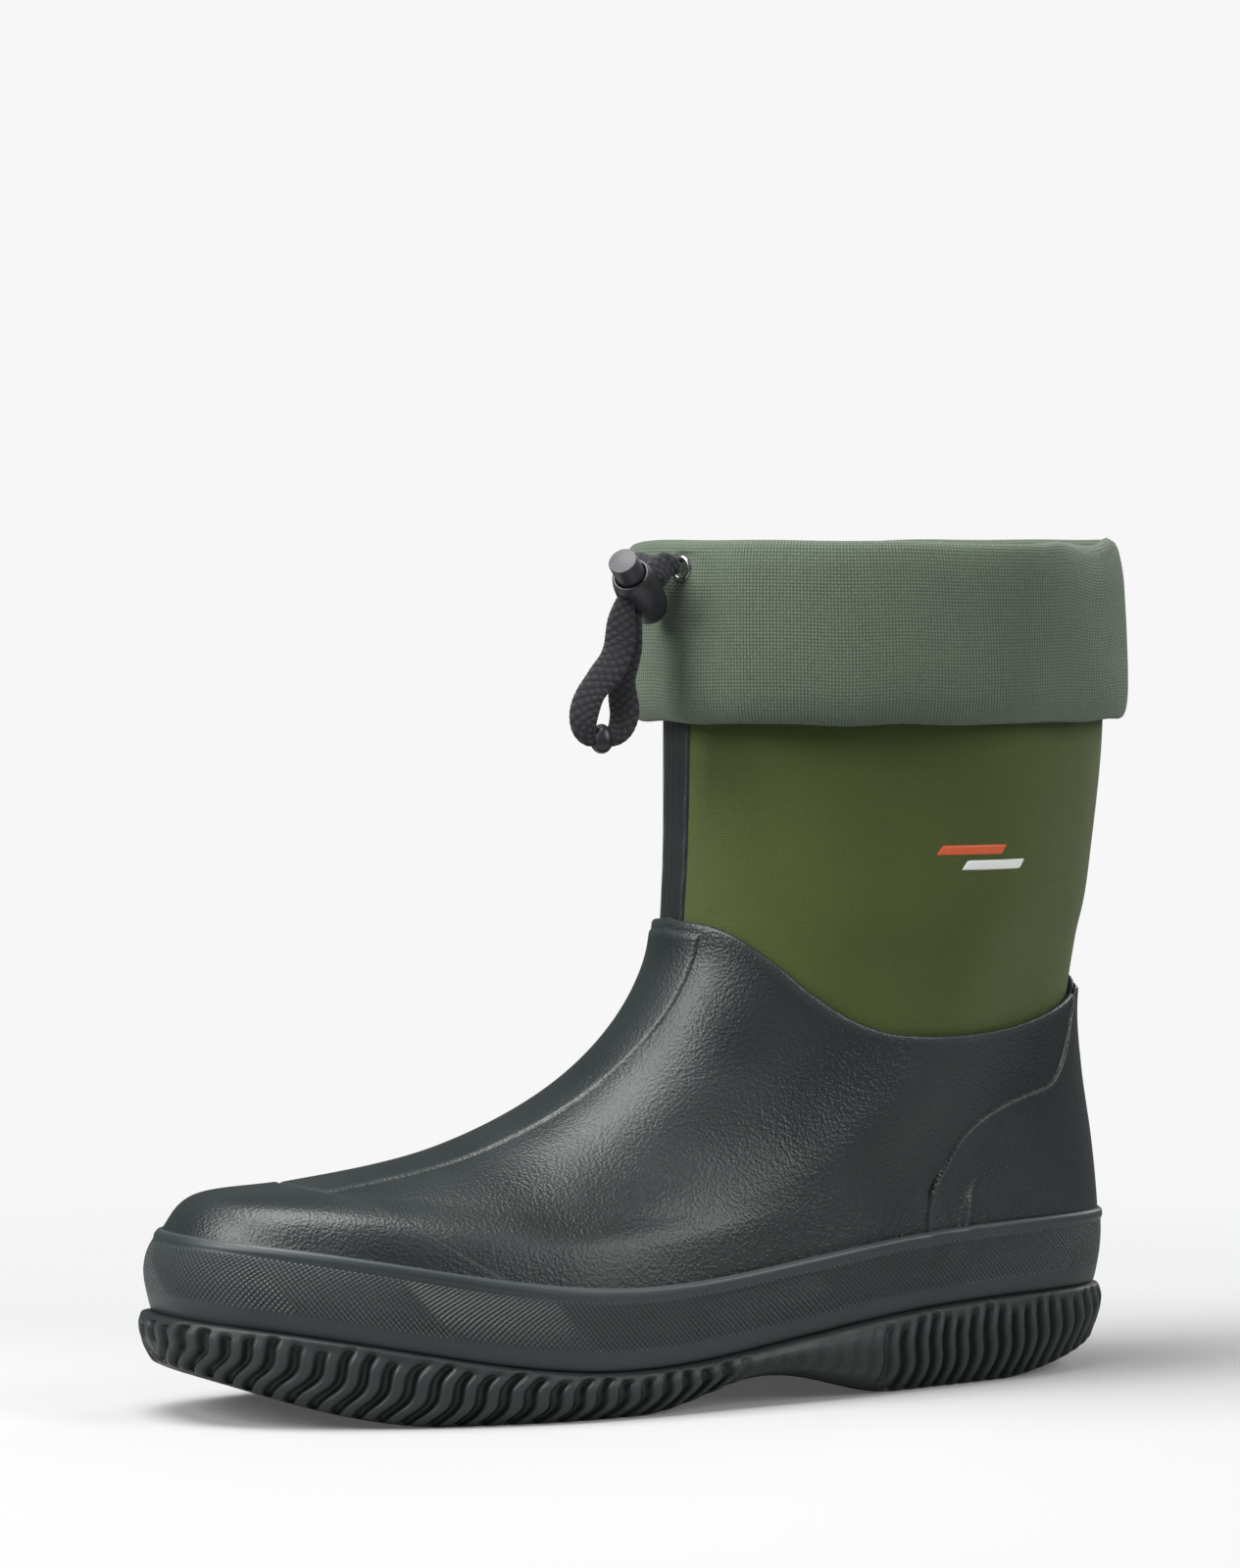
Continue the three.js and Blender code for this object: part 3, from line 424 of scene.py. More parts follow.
def hide_grain(size, depth):
    """Moulded rubber with a fine leather grain: little cells, broken by noise, on a
    slightly uneven surface. Its edges and rib take a painted highlight from the mesh's attribute."""

    def pattern(tree, where):
        cells = {"Vector": where, "Scale": 1 / (size * MM), "Smoothness": 0.6}
        cells = add(tree, "TexVoronoi", cells, out="Distance", feature="SMOOTH_F1")
        fine = add(tree, "TexNoise", grain(where, size * 0.7))
        height = add(tree, "Math", [fine, 0.8, cells], operation="MULTIPLY_ADD")
        uneven = add(tree, "TexNoise", grain(where, 34, 1))
        painted_light_share = add(tree, "Attribute", out="Fac", attribute_name="rub")
        share = add(tree, "Math", [uneven, 0.35], operation="MULTIPLY")
        # lighter where the mesh's attribute paints a highlight
        share = add(tree, "Math", [painted_light_share, 0.75, share], operation="MULTIPLY_ADD")
        return share, [uneven, 0.3, 0.7, 0.36, 0.46], [(uneven, 1.2), (height, depth)]

    return pattern


def matt_rubber(tree, where):
    """Rubber straight from a matt mould: fine pits, with painted highlights on its ribs and lip and painted
    shade in its grooves.
    """
    painted_light_share = add(tree, "Attribute", out="Fac", attribute_name="rub")
    share = add(tree, "Math", [add(tree, "TexNoise", grain(where, 9)), 0.25], operation="MULTIPLY")
    # painted highlight on ribs and lip, painted shade in grooves, from the mesh's attribute
    share = add(tree, "Math", [painted_light_share, 0.8, share], operation="MULTIPLY_ADD")
    rough = [add(tree, "TexNoise", grain(where, 6)), 0.3, 0.7, 0.46, 0.6]
    return share, rough, [(add(tree, "TexNoise", grain(where, 0.9)), 0.06)]


# the drawn grain is coarser than the real 0.6 mm, to show
UPPER_RUBBER = made_of(
    "satin_moulded_rubber", "#111818", "#363d3c", hide_grain(0.95, 0.15),
    specular_ior_level=0.5, coat_weight=0.06, coat_roughness=0.25,
)
STRIP_RUBBER = made_of(
    "calendered_rubber_tape", "#161a19", "#3c4040", hide_grain(2.4, 0.12), specular_ior_level=0.5,
)
SOLE_RUBBER = made_of(
    "matt_vulcanised_rubber", "#101515", "#353c3c", matt_rubber, specular_ior_level=0.45,
)

KNURL = 1.7  # real ridges are 1.2 mm apart, drawn a little coarser
KNURL_ZONE = 44  # length of a patch whose ridges lean one way
KNURL_FOOT = (5.0, 7.5)  # the knurl fades in between these heights on the band
KNURL_TOP = (20.0, 20.8)  # and out between these, under its border
FOXING_HEIGHT = 24


def knurled(tree, where):
    """Rubber with a knurl: two sets of ridges that cross, each stronger in every second
    patch, between a smooth border above and a smooth margin below. The ridges' crests carry a painted
    highlight and their hollows painted shade, and the knurled zone is painted lighter to offset the shade of
    its ridges."""
    laid = add(tree, "UVMap", out="UV", uv_map="laid")
    u, v, _ = add(tree, "SeparateXYZ", [laid]).node.outputs
    lean = add(tree, "Math", [v, 1.1, u], operation="MULTIPLY_ADD")
    lean = add(tree, "Math", [lean, np.pi / KNURL_ZONE], operation="MULTIPLY")
    patch = add(tree, "Math", [lean], operation="SINE")
    patch = add(tree, "MapRange", [patch, -0.15, 0.15], interpolation_type="SMOOTHSTEP")
    sets = []
    for way, gain, least in (("ADD", 0.45, 0.4), ("SUBTRACT", -0.45, 0.85)):
        across = add(tree, "Math", [u, v], operation=way)
        across = add(tree, "Math", [across, 2 * np.pi / KNURL], operation="MULTIPLY")
        wave = add(tree, "Math", [across], operation="SINE")
        strength = add(tree, "Math", [patch, gain, least], operation="MULTIPLY_ADD")
        sets.append(add(tree, "Math", [wave, strength], operation="MULTIPLY"))
    foot = add(tree, "MapRange", [v, *KNURL_FOOT], interpolation_type="SMOOTHSTEP")
    window = add(tree, "Math", [foot, add(tree, "MapRange", [v, *KNURL_TOP, 1.0, 0.0])], operation="MULTIPLY")
    ridges = add(tree, "Math", [add(tree, "Math", sets, operation="ADD"), window], operation="MULTIPLY")
    uneven = add(tree, "TexNoise", grain(where, 30, 1))
    share = add(tree, "Math", [uneven, 0.3, 0.06], operation="MULTIPLY_ADD")
    # painted highlight on the ridges' crests and painted shade in their hollows
    share = add(tree, "Math", [ridges, 0.2, share], operation="MULTIPLY_ADD")
    # the knurled zone painted lighter to offset the rendered shade of its ridges
    share = add(tree, "Math", [window, 0.12, share], operation="MULTIPLY_ADD")
    # painted highlight along the band's top edge, from the mesh's attribute
    painted_light_share = add(tree, "Attribute", out="Fac", attribute_name="rub")
    share = add(tree, "Math", [share, painted_light_share], operation="ADD")
    pits = add(tree, "TexNoise", grain(where, 0.7))
    return share, [uneven, 0.3, 0.7, 0.4, 0.5], [(uneven, 0.9), (pits, 0.03), (ridges, 0.26)]


FOXING_RUBBER = made_of("knurled_foxing_rubber", "#161d1d", "#474e4e", knurled, specular_ior_level=0.5)


def cloth(pitch, depth, fuzz):
    """A plain weave: threads cross over and under, so that every second square of a
    chequer stands up, with painted shade in the gaps and a painted highlight on the raised threads, in cloth
    that is a little uneven."""

    def pattern(tree, where):
        laid = add(tree, "UVMap", out="UV", uv_map="laid")
        threads = []
        for way in add(tree, "SeparateXYZ", [laid]).node.outputs[:2]:
            turned = add(tree, "Math", [way, np.pi / pitch], operation="MULTIPLY")
            threads.append(add(tree, "Math", [turned], operation="SINE"))
        warp, weft = threads
        cross = add(tree, "Math", [warp, weft], operation="MULTIPLY")
        knot = add(tree, "Math", [cross], operation="ABSOLUTE")
        over = add(tree, "Math", [cross, 0.12, knot], operation="MULTIPLY_ADD")
        over = add(tree, "Math", [over, 0.7], operation="MULTIPLY")
        rib = add(tree, "Math", [warp], operation="ABSOLUTE")
        over = add(tree, "Math", [rib, 0.35, over], operation="MULTIPLY_ADD")
        uneven = add(tree, "TexNoise", grain(where, 22, 2))
        slub = add(tree, "TexNoise", grain(where, fuzz, 2))
        share = add(tree, "Math", [slub, 0.35, -0.02], operation="MULTIPLY_ADD")
        # painted highlight on the raised crossings and ribs, painted shade in the gaps between threads
        share = add(tree, "Math", [over, 0.6, share], operation="MULTIPLY_ADD")
        share = add(tree, "Math", [uneven, 0.22, share], operation="MULTIPLY_ADD")
        return share, [uneven, 0.3, 0.7, 0.62, 0.74], [(uneven, 0.5), (over, depth), (slub, 0.04)]

    return pattern


# oxford nylon: a coarse bright weave, its 0.6 mm threads drawn twice as wide to show
OXFORD_NYLON = made_of(
    "oxford_nylon_sage", "#34403a", "#68755f", cloth(0.95, 0.2, 1.4),
    specular_ior_level=0.35, sheen_weight=0.12, sheen_roughness=0.5,
)
# nylon jersey on foam rubber: close, even and matt
NEOPRENE_JERSEY = made_of(
    "neoprene_nylon_jersey", "#313c15", "#515e28", cloth(0.8, 0.05, 0.9),
    specular_ior_level=0.25, sheen_weight=0.1, sheen_roughness=0.6,
)
BINDING_TAPE = made_of(
    "binding_tape_nylon", "#101111", "#2f3232", cloth(1.0, 0.2, 1.0),
    specular_ior_level=0.3, sheen_weight=0.1,
)


def braid(tree, where):
    """Chunky strands that cross on the slant, with a painted highlight on top of each from the mesh's
    attribute.
    """
    painted_light_share = add(tree, "Attribute", out="Fac", attribute_name="rub")
    share = add(tree, "Math", [add(tree, "TexNoise", grain(where, 0.7)), 0.5], operation="MULTIPLY")
    # painted highlight on the strands' crowns, painted shade between them
    share = add(tree, "Math", [painted_light_share, 0.7, share], operation="MULTIPLY_ADD")
    return share, None, [(add(tree, "TexNoise", grain(where, 0.55, 4)), 0.25)]


def mottled(patches, *layers, rough=None):
    """Soft patches of the two colours over a fine relief. The patches are a grain, and each
    layer is a grain with its depth at the end. Rough is a grain in mm and its range."""

    def pattern(tree, where):
        share = add(tree, "TexNoise", grain(where, *patches))
        follows = rough and [add(tree, "TexNoise", grain(where, rough[0])), *rough[1:]]
        relief = [(add(tree, "TexNoise", grain(where, *size)), depth) for *size, depth in layers]
        return share, follows, relief

    return pattern


# polyester braid, nearly black
CORD_BRAID = made_of(
    "flat_braided_polyester", "#0b0b0c", "#3c3c40", braid,
    roughness=0.78, specular_ior_level=0.3, sheen_weight=0.1,
)
# acetal: moulded, dark and smooth, with a soft broad highlight
LOCK_PLASTIC = made_of("moulded_acetal", "#1f1f23", "#2b2b30", mottled([5], (0.5, 0.015)), roughness=0.36)
BUTTON_PLASTIC = made_of(
    "moulded_acetal_grey", "#2c2b31", "#38373d", mottled([5], (0.5, 0.015)), roughness=0.42,
)
# plated brass and spring steel: bright, faintly scuffed
PLATED_METAL = made_of(
    "nickel_plated_brass", "#6f706e", "#b4b5b2",
    mottled([1.5], (0.6, 0.02), rough=(0.8, 0.0, 1.0, 0.18, 0.4)), metallic=1.0,
)
# napped fleece: soft tufts of a millimetre or two
FLEECE = made_of(
    "napped_fleece", "#242626", "#5a5c5c", mottled([1.6, 5, 0.7], (4, 0.8), (1.2, 5, 0.7, 0.7)),
    roughness=0.95, specular_ior_level=0.15, sheen_weight=0.35, sheen_roughness=0.6,
)
# moulded EVA foam: matt with small open cells
EVA_FOAM = made_of(
    "moulded_eva_foam", "#3a3d3f", "#56595b", mottled([2.5], (0.9, 4, 0.15)),
    roughness=0.9, specular_ior_level=0.25,
)
# cellulose board: pressed fibres, buff and matt
FIBREBOARD = made_of(
    "pressed_cellulose_board", "#75684f", "#9b8d70", mottled([3, 5], (1.2, 5, 0.1)),
    roughness=0.92, specular_ior_level=0.2,
)


def print_of(name, low, high):
    """A heat transfer film: one colour, thin and faintly glossy, with the cloth showing through."""
    return made_of(name, low, high, mottled([1.5], (0.6, 0.05)), roughness=0.45)


# ---------------------------------------------------------------- camera

AZIMUTH = np.radians(62)
CAMERA_DISTANCE = 1800
CAMERA_HEIGHT = 250
CAMERA_TARGET = np.array([0, -9, 178])
LENS = 141.75

back = np.array([np.sin(AZIMUTH), -np.cos(AZIMUTH), 0]) * CAMERA_DISTANCE
eye = CAMERA_TARGET * [1, 1, 0] + back + [0, 0, CAMERA_HEIGHT]
camera = bpy.data.objects.new("camera", bpy.data.cameras.new("camera"))
bpy.context.collection.objects.link(camera)
camera.data.lens = LENS
camera.data.clip_start = 0.05
camera.location = place(eye)
camera.rotation_euler = Vector(place(CAMERA_TARGET) - place(eye)).to_track_quat("-Z", "Y").to_euler()
bpy.context.scene.camera = camera

# ---------------------------------------------------------------- drawcord

# from the outer eyelet through the lock, down to the bead, back up and to the inner eyelet
CORD_POINTS = [
    [17.2, -0.4, 241.3], [17.8, -2.4, 241.6], [18.9, -5.0, 241.4], [19.9, -8.6, 240.3],
    [19.9, -14.2, 236.2], [19.9, -17.7, 231.0], [19.9, -19.1, 226.3], [19.9, -19.4, 222.0],
    [19.8, -20.1, 217.8], [19.6, -21.9, 213.4], [19.2, -25.5, 209.0], [18.8, -28.8, 204.5],
    [18.5, -30.6, 199.0], [18.3, -30.3, 194.9], [18.2, -28.3, 192.5], [18.2, -24.7, 191.9],
    [18.2, -21.2, 192.4], [18.2, -18.6, 194.8], [18.2, -17.2, 199.2], [18.1, -17.7, 204.0],
    [18.1, -18.2, 209.0], [18.1, -17.4, 214.0], [18.1, -16.3, 218.5], [18.1, -16.1, 222.9],
    [18.1, -15.8, 225.7], [18.1, -14.5, 229.8], [18.1, -11.8, 233.9], [18.1, -8.2, 236.9],
    [17.7, -6.2, 238.6], [14.5, -5.3, 239.9], [9.0, -5.4, 240.6], [3.0, -5.8, 241.0],
    [-2.0, -5.6, 241.1], [-5.2, -4.4, 241.1], [-6.0, -2.0, 241.0],
]
CORD_FACES = np.array([0.88, -0.47, 0.04])  # the way that the flat of the cord faces
BRAID = 2.6  # length of one crossing of the braid


def drawcord():
    """A flat oval carried along the route, its flat kept facing outwards. It narrows into
    the eyelets, the lock and the bead, and strands stand up where two waves cross."""
    path = spline(CORD_POINTS, 420)
    way = unit(np.gradient(path, axis=0))
    wide = unit(np.cross(way, CORD_FACES))
    deep = np.cross(wide, way)
    along = np.linspace(0, np.linalg.norm(np.diff(path, axis=0), axis=1).sum(), len(path))
    in_lock = hump(np.linalg.norm(path - LOCK_AT, axis=1), 0, 8.5)
    in_bead = hump(np.linalg.norm(path - BEAD_AT, axis=1), 0, 5.6)
    in_eyelet = np.maximum(smooth((4 - along) / 4), smooth((along - along[-1] + 4) / 4))
    width = CORD_WIDTH + 0.25 * np.sin(along / 2.1) + 0.3 * np.sin(along / 5.3 + 1)
    width = mix(width, CORD_IN_LOCK, in_lock)
    width = mix(width, CORD_IN_BEAD, in_bead)
    width = mix(width, 5.2, in_eyelet)
    wall = CORD_WALL + np.maximum.reduce([0.8 * in_lock, 0.8 * in_bead, 2.2 * in_eyelet])
    a = np.linspace(0, 2 * np.pi, 41)
    side = np.sign(np.cos(a)) * np.abs(np.cos(a)) ** 0.85
    face = np.sign(np.sin(a)) * np.abs(np.sin(a)) ** 0.75
    s, c = along[None, :], side[:, None]
    strand = np.abs(np.sin(np.pi * (s / BRAID + c * 1.25))) * np.abs(np.sin(np.pi * (s / BRAID - c * 1.25)))
    swell = 1 + 0.24 * (strand - 0.45)
    across = (c * width / 2 * (1 + 0.3 * (swell - 1)))[..., None] * wide
    up = (face[:, None] * wall / 2 * swell)[..., None] * deep
    grid = path + across + up
    for end in (0, -1):
        cap = path[end] + (grid[:, end] - path[end]) * 0.02
        grid = np.insert(grid, 0 if end == 0 else grid.shape[1], cap, axis=1)
        strand = np.insert(strand, 0 if end == 0 else strand.shape[1], strand[:, end], axis=1)
    # the strands' height doubles as painted light: painted highlight on the crowns, painted shade in the
    # hollows between
    made = surface("drawcord_braid", grid.transpose(1, 0, 2), around=True, rub=strand.T)
    finish(made, "gaiter", CORD_BRAID, "drawcord_tail", slot="cord_braid")
    return made, path, along[-1]


cord, cord_path, cord_length = drawcord()


def lock_barrel():
    """An egg turned about the barrel's axis, hollow down to the spring's floor, with the
    cord's slot cut across it."""
    outside = through([
        [0, 0, -13.2], [1, 2.4, -12.9], [2, 4.3, -11.7], [3, 5.7, -8.8], [4, 6.35, -4.5],
        [5, 6.55, 0], [6, 6.3, 4.2], [7, 5.75, 6.8],
    ])(np.linspace(0, 7, 48))
    outside[0, 0] = 0
    lip = rounded([[5.7, 6.8], [5.55, 7.5], [BARREL_BORE, 7.5], [BARREL_BORE, 5]], 0.5)
    inside = np.array([[BARREL_BORE, -9.2], [3.5, -9.2], [3.5, -11.6], [0, -11.6]])
    made = lathe("lock_barrel_shell", np.vstack([outside, lip, inside]), (LOCK_AT, BARREL_WAY))
    cross, cord_way = lock_ways()
    pierce(made, LOCK_AT, (cross, BARREL_WAY, cord_way), (6.4, 9.6, 20))
    return finish(made, "cord_lock", LOCK_PLASTIC, "lock_barrel", slot="lock_plastic")


def lock_ways():
    """The lock's ways across, and along the cord, which goes down through it."""
    cord_way = np.array([0, -np.cos(LOCK_ANGLE), -np.sin(LOCK_ANGLE)])
    return unit(np.cross(BARREL_WAY, cord_way)), cord_way


def lock_button():
    """A plunger: a turned cylinder with a softly crowned cap, slotted for the cord."""
    crown = np.array([[r, 14.5 - 0.25 * (r / 3.6) ** 2] for r in np.linspace(0, 3.5, 8)])
    rim = rounded([[3.5, 14.25], [BUTTON_RADIUS, 14.2], [BUTTON_RADIUS, 10]], 0.7, 8)
    stem = np.array([[BUTTON_RADIUS, -5], [BUTTON_RADIUS - 0.5, -5.6], [0, -5.6]])
    made = lathe("lock_button_cap", np.vstack([crown, rim, stem]), (LOCK_AT, BARREL_WAY))
    cross, cord_way = lock_ways()
    middle = LOCK_AT + BARREL_WAY * (7 - 4.3) / 2
    pierce(made, middle, (cross, BARREL_WAY, cord_way), (6.4, 11.3, 20))
    return finish(made, "lock_plunger", BUTTON_PLASTIC, "lock_button", slot="lock_plastic")


def cord_bead():
    """An egg with its long axis upright, a little fuller below, bored for the cord."""
    turn = np.linspace(-np.pi / 2, np.pi / 2, 40)
    profile = np.stack([3.3 * np.cos(turn) * (1 - 0.07 * np.sin(turn)), 4.3 * np.sin(turn)], axis=1)
    profile[[0, -1], 0] = 0
    made = lathe("cord_end_bead", profile, (BEAD_AT, [0, 0, 1]))
    pierce(made, BEAD_AT, ([1, 0, 0], [0, 0, 1], [0, -1, 0]), (3.4, 4.2, 14))
    return finish(made, "gaiter", LOCK_PLASTIC, "cord_bead", slot="lock_plastic")


barrel, button, bead = lock_barrel(), lock_button(), cord_bead()

# ---------------------------------------------------------------- sole

BALL_FLAT = (-88, -30)
HEEL_FLAT = (62, 104)
SOLE_CENTRE = np.array([0, 10, 0])


def feather(y):
    toe_y, toe_z, heel_y, heel_z, sag = SECTION(np.zeros(1))[0, :5]
    t = (y - toe_y) / (heel_y - toe_y)
    return mix(toe_z, heel_z, t) - sag * hump(t, 0.38, 0.28)


def ground(y):
    """Underside of the sole: level under ball and heel, sprung at the toe, arched between."""
    toe = 18 * (np.clip(BALL_FLAT[0] - y, 0, None) / 67) ** 1.7
    heel = 10 * (np.clip(y - HEEL_FLAT[1], 0, None) / 48) ** 1.5
    t = np.clip((y - BALL_FLAT[1]) / (HEEL_FLAT[0] - BALL_FLAT[1]), 0, 1)
    return toe + heel + 8 * np.sin(np.pi * t) ** 2


def outline(a, off):
    """The feather line in plan, standing off it level."""
    out = out_of(a, np.zeros_like(a))
    out[..., 2] = 0
    points = last(a, np.zeros_like(a)) + unit(out) * np.asarray(off)[..., None]
    points[..., 2] = 0
    return points


def arch_share(y):
    """1 along the arch, where the ribs are fine, and 0 under the ball and the heel."""
    return smooth((y + 4) / 14) * smooth((62 - y) / 12)


def sole_rim():
    """The outsole's edge: a rounded lip over a wall that draws in to the ground, carried
    round the foot. Waved ribs stand on the wall, closer together towards the heel."""
    columns = 1500
    a, length = even_turns(columns)
    corners = [[-4.4, 0, 1], [2.2, 0, 1], [4.9, 0, 0.4], [5.9, 0.22, 0], [5.5, 0.45, 0], [4.4, 0.72, 0],
               [2.6, 0.93, 0], [0.8, 1, 0.1], [-1.6, 1, 0]]
    wall = rounded(corners, 1.6, 6)
    profile = even(wall * [1, 14, 1], 46) / [1, 14, 1]
    profile = np.vstack([profile, [[-4.4, 1, 2.5]]])
    off, down, lift = (profile[:, i][:, None] for i in range(3))
    a = np.broadcast_to(a, (len(profile), columns + 1))
    y = outline(a, np.broadcast_to(off, a.shape))[..., 1]
    side = np.minimum(np.arange(columns + 1), columns - np.arange(columns + 1)) * length / columns
    pitch = mix(6.7, 5.4, smooth((y - 20) / 60))
    half = columns // 2
    counted = np.cumsum((length / columns) / pitch[20, :half + 1])
    phase = np.concatenate([counted, counted[half - 1::-1]])
    slant = mix(0.62, 0.12, smooth((y - 10) / 60))
    tall = mix(feather(y) - 0.9, ground(y), down) - ground(y)
    depth_down = (feather(y) - 0.9 - ground(y)) * down
    wave = 0.19 * np.sin(2 * np.pi * down * 1.25 + 0.8 * np.sin(side / 23)) + 0.05 * np.sin(side / 5.1)
    ridge = 0.5 + 0.5 * np.cos(2 * np.pi * (phase + slant * depth_down / pitch + wave))
    groove = 1 - smooth(ridge * 1.3)
    arch = arch_share(y)
    fine = 0.5 - 0.5 * np.cos(2 * np.pi * (side + 0.5 * depth_down) / 1.9)
    shown = smooth((down - 0.05 - 0.04 * np.sin(side / 3.7)) / 0.11) * smooth((off - 0.2) / 1.6)
    cut_in = 2.8 * groove * shown * (1 - arch)
    cut_in += 0.55 * fine * arch_share(y) * smooth((down - 0.3) / 0.1) * smooth((0.75 - down) / 0.1)
    drawn = (1.0 * hump(from_toe(a), 0, 40) + 1.9 * hump(from_toe(a), 180, 36)) * smooth(off / 4)
    points = outline(a, off - cut_in - drawn)
    points[..., 2] = mix(feather(y) - 0.9, ground(y), down) + lift
    points[..., 2] += 0.5 * arch * smooth((down - 0.7) / 0.3)
    # painted light: painted shade in the grooves, rib faces lighter, and a painted highlight along the lip's
    # bulge
    rub = shown * (1 - groove) * smooth(tall / 6) * 0.35 + 0.25 * hump(down, 0.18, 0.12)
    made = surface("outsole_rim", points, around=True, loop=True, rub=rub)
    finish(made, "boot", SOLE_RUBBER, "outsole", slot="outsole_rubber")


def sole_tread():
    """The outsole's underside: bars across the foot with waved grooves between them,
    drawn in rings from the rim to the middle, under a flat top."""
    a, _ = even_turns(720)
    share = np.linspace(1, 0, 64)[:, None]
    edge = outline(a, np.full(a.shape, -1.0))[None]
    points = SOLE_CENTRE + (edge - SOLE_CENTRE) * share[..., None]
    x, y = points[..., 0], points[..., 1]
    pitch = mix(8.5, 7.0, smooth((y - 20) / 60))
    bars = 0.5 + 0.5 * np.cos(2 * np.pi * (y + 2.2 * np.sin(x / 6.5)) / pitch)
    rail = smooth((np.abs(x - 2) - 1.5) / 1.5)
    groove = (1 - smooth(bars * 1.7)) * rail * smooth((1 - share) / 0.1)
    cut_up = 2.6 * groove * (1 - 0.85 * arch_share(y))
    low = points.copy()
    low[..., 2] = ground(y) + cut_up
    high = points[::-9].copy()
    high[..., 2] = feather(high[..., 1]) - 3.7
    edge_up = points[:1] + [0, 0, 1] * (ground(y[:1])[..., None] + 3)
    made = surface("outsole_tread", joined([low[::-1], edge_up, high[::-1]]), around=True)
    finish(made, "boot", SOLE_RUBBER, "outsole", slot="outsole_rubber")


sole_rim()
sole_tread()

# ---------------------------------------------------------------- upper

COUNTER_RIB = 120.5  # the heel's little stiffening rib, degrees from the toe
COUNTER_EDGE = 113.8


def rubber_foot():
    """The rubber foot: a wall on the last from the feather line to its waved top edge,
    which is rounded over."""
    a = turns(320)[None, :]
    edge = edge_of(a)
    share = np.linspace(0, 1, 130)[:, None]
    lean = smooth((share - 0.9) / 0.1)
    v = edge * share
    outer = skin(a, v, -0.15 * lean)
    t = np.linspace(0, np.pi / 2, 5)[1:, None]
    over = skin(a, edge + 0.004 * np.sin(t), -0.15 - (1 - np.cos(t)) * 1.1)
    inner = skin(a, edge * np.linspace(1, 0, 24)[:, None], -RUBBER)
    # painted highlight along the rounded-over top edge and over the faces inside it
    rub = np.concatenate([0.55 * smooth((share - 0.985) / 0.015) + 0 * a, np.full((4 + 24, a.shape[1]), 0.3)])
    made = surface("rubber_foot", joined([outer, over, inner]), around=True, loop=True, rub=rub)
    finish(made, "boot", UPPER_RUBBER, "rubber_shell", slot="upper_rubber")


def border_distance(grid):
    """How far each point of a grid is from the grid's own border, in millimetres."""
    border = np.concatenate([grid[0], grid[-1], grid[:, 0], grid[:, -1]])
    near = np.full(grid.shape[:2], np.inf)
    for some in np.array_split(border, 24):
        apart = np.linalg.norm(grid[:, :, None] - some[None, None], axis=-1)
        near = np.minimum(near, apart.min(axis=2))
    return near


def overlay(name, a, low, high, wall, under, soft, rows, material, node, slot, swell=None):
    """A patch laid on the last between two lines: its face rises from under the surface
    at the border to its full thickness, over a short soft edge."""
    v = mix(low, high, np.linspace(0, 1, rows)[:, None])
    far = border_distance(skin(a[None, :], v, 0.0))
    rise = smooth(far / soft)
    raised = swell(a[None, :], v) * rise if swell else 0 * rise
    top = under + (wall - under) * rise + raised
    outer = skin(a[None, :], v, top)
    inner = skin(a[None, :], v, under)
    # painted highlight along each patch's soft edge and over its swellings, such as the heel's rib
    painted_light_values = 0.5 * hump(far, soft * 0.9, soft * 0.5) + 0.5 * smooth(raised / 1.4)
    rub = np.concatenate([painted_light_values, np.zeros(v.shape)])
    made = surface(name, joined([outer, inner[::-1]]), loop=True, rub=rub)
    finish(made, "boot", material, node, slot=slot)


TOE_CAP_END = 68


def cap_top(a):
    return 0.2 + 0.144 * (1 - np.minimum(1, from_toe(a) / TOE_CAP_END) ** 2.4)


def counter_top(a):
    """The counter's top line: level round the heel, down in a quarter of a superellipse at
    its corners, and up the stay over the back seam."""
    from_heel = 180 - from_toe(a)
    corner = np.clip((from_heel - 39) / (180 - COUNTER_EDGE - 39), 0, 1) ** 2.2
    return 0.19 + 0.262 * (1 - corner) ** 0.126 + 0.165 * smooth((46 - from_heel) / 25) ** 1.6


def counter_rib(a, v):
    """A short upright rib just over the foxing, on both sides of the heel."""
    lean = COUNTER_RIB + 14 * (v - FOXING_TOP)
    return 1.2 * hump(from_toe(a), lean, 0.8) * smooth((0.3 - v) / 0.08)


def upper_overlays():
    under_foxing = 0.17
    toe = np.radians(np.linspace(-TOE_CAP_END - 1, TOE_CAP_END + 1, 260))
    overlay("toe_cap_rand", toe, under_foxing, cap_top(toe), OVERLAY, -0.35, 1.5, 90, UPPER_RUBBER, "toe_cap",
            "upper_rubber")
    crowded = np.sin(np.linspace(-np.pi / 2, np.pi / 2, 340))
    heel = np.radians(180 + (179.999 - COUNTER_EDGE) * crowded)
    overlay("heel_counter_rand", heel, under_foxing, counter_top(heel), OVERLAY, -0.35, 1.3, 110,
            UPPER_RUBBER, "heel_counter", "upper_rubber", counter_rib)
    vamp = np.radians(np.linspace(-19, 19, 60))
    overlay("instep_rand", vamp, cap_top(vamp) - 0.004, edge_of(vamp) - 0.004, 0.6, -0.35, 2.2, 200,
            UPPER_RUBBER, "instep_band", "upper_rubber")


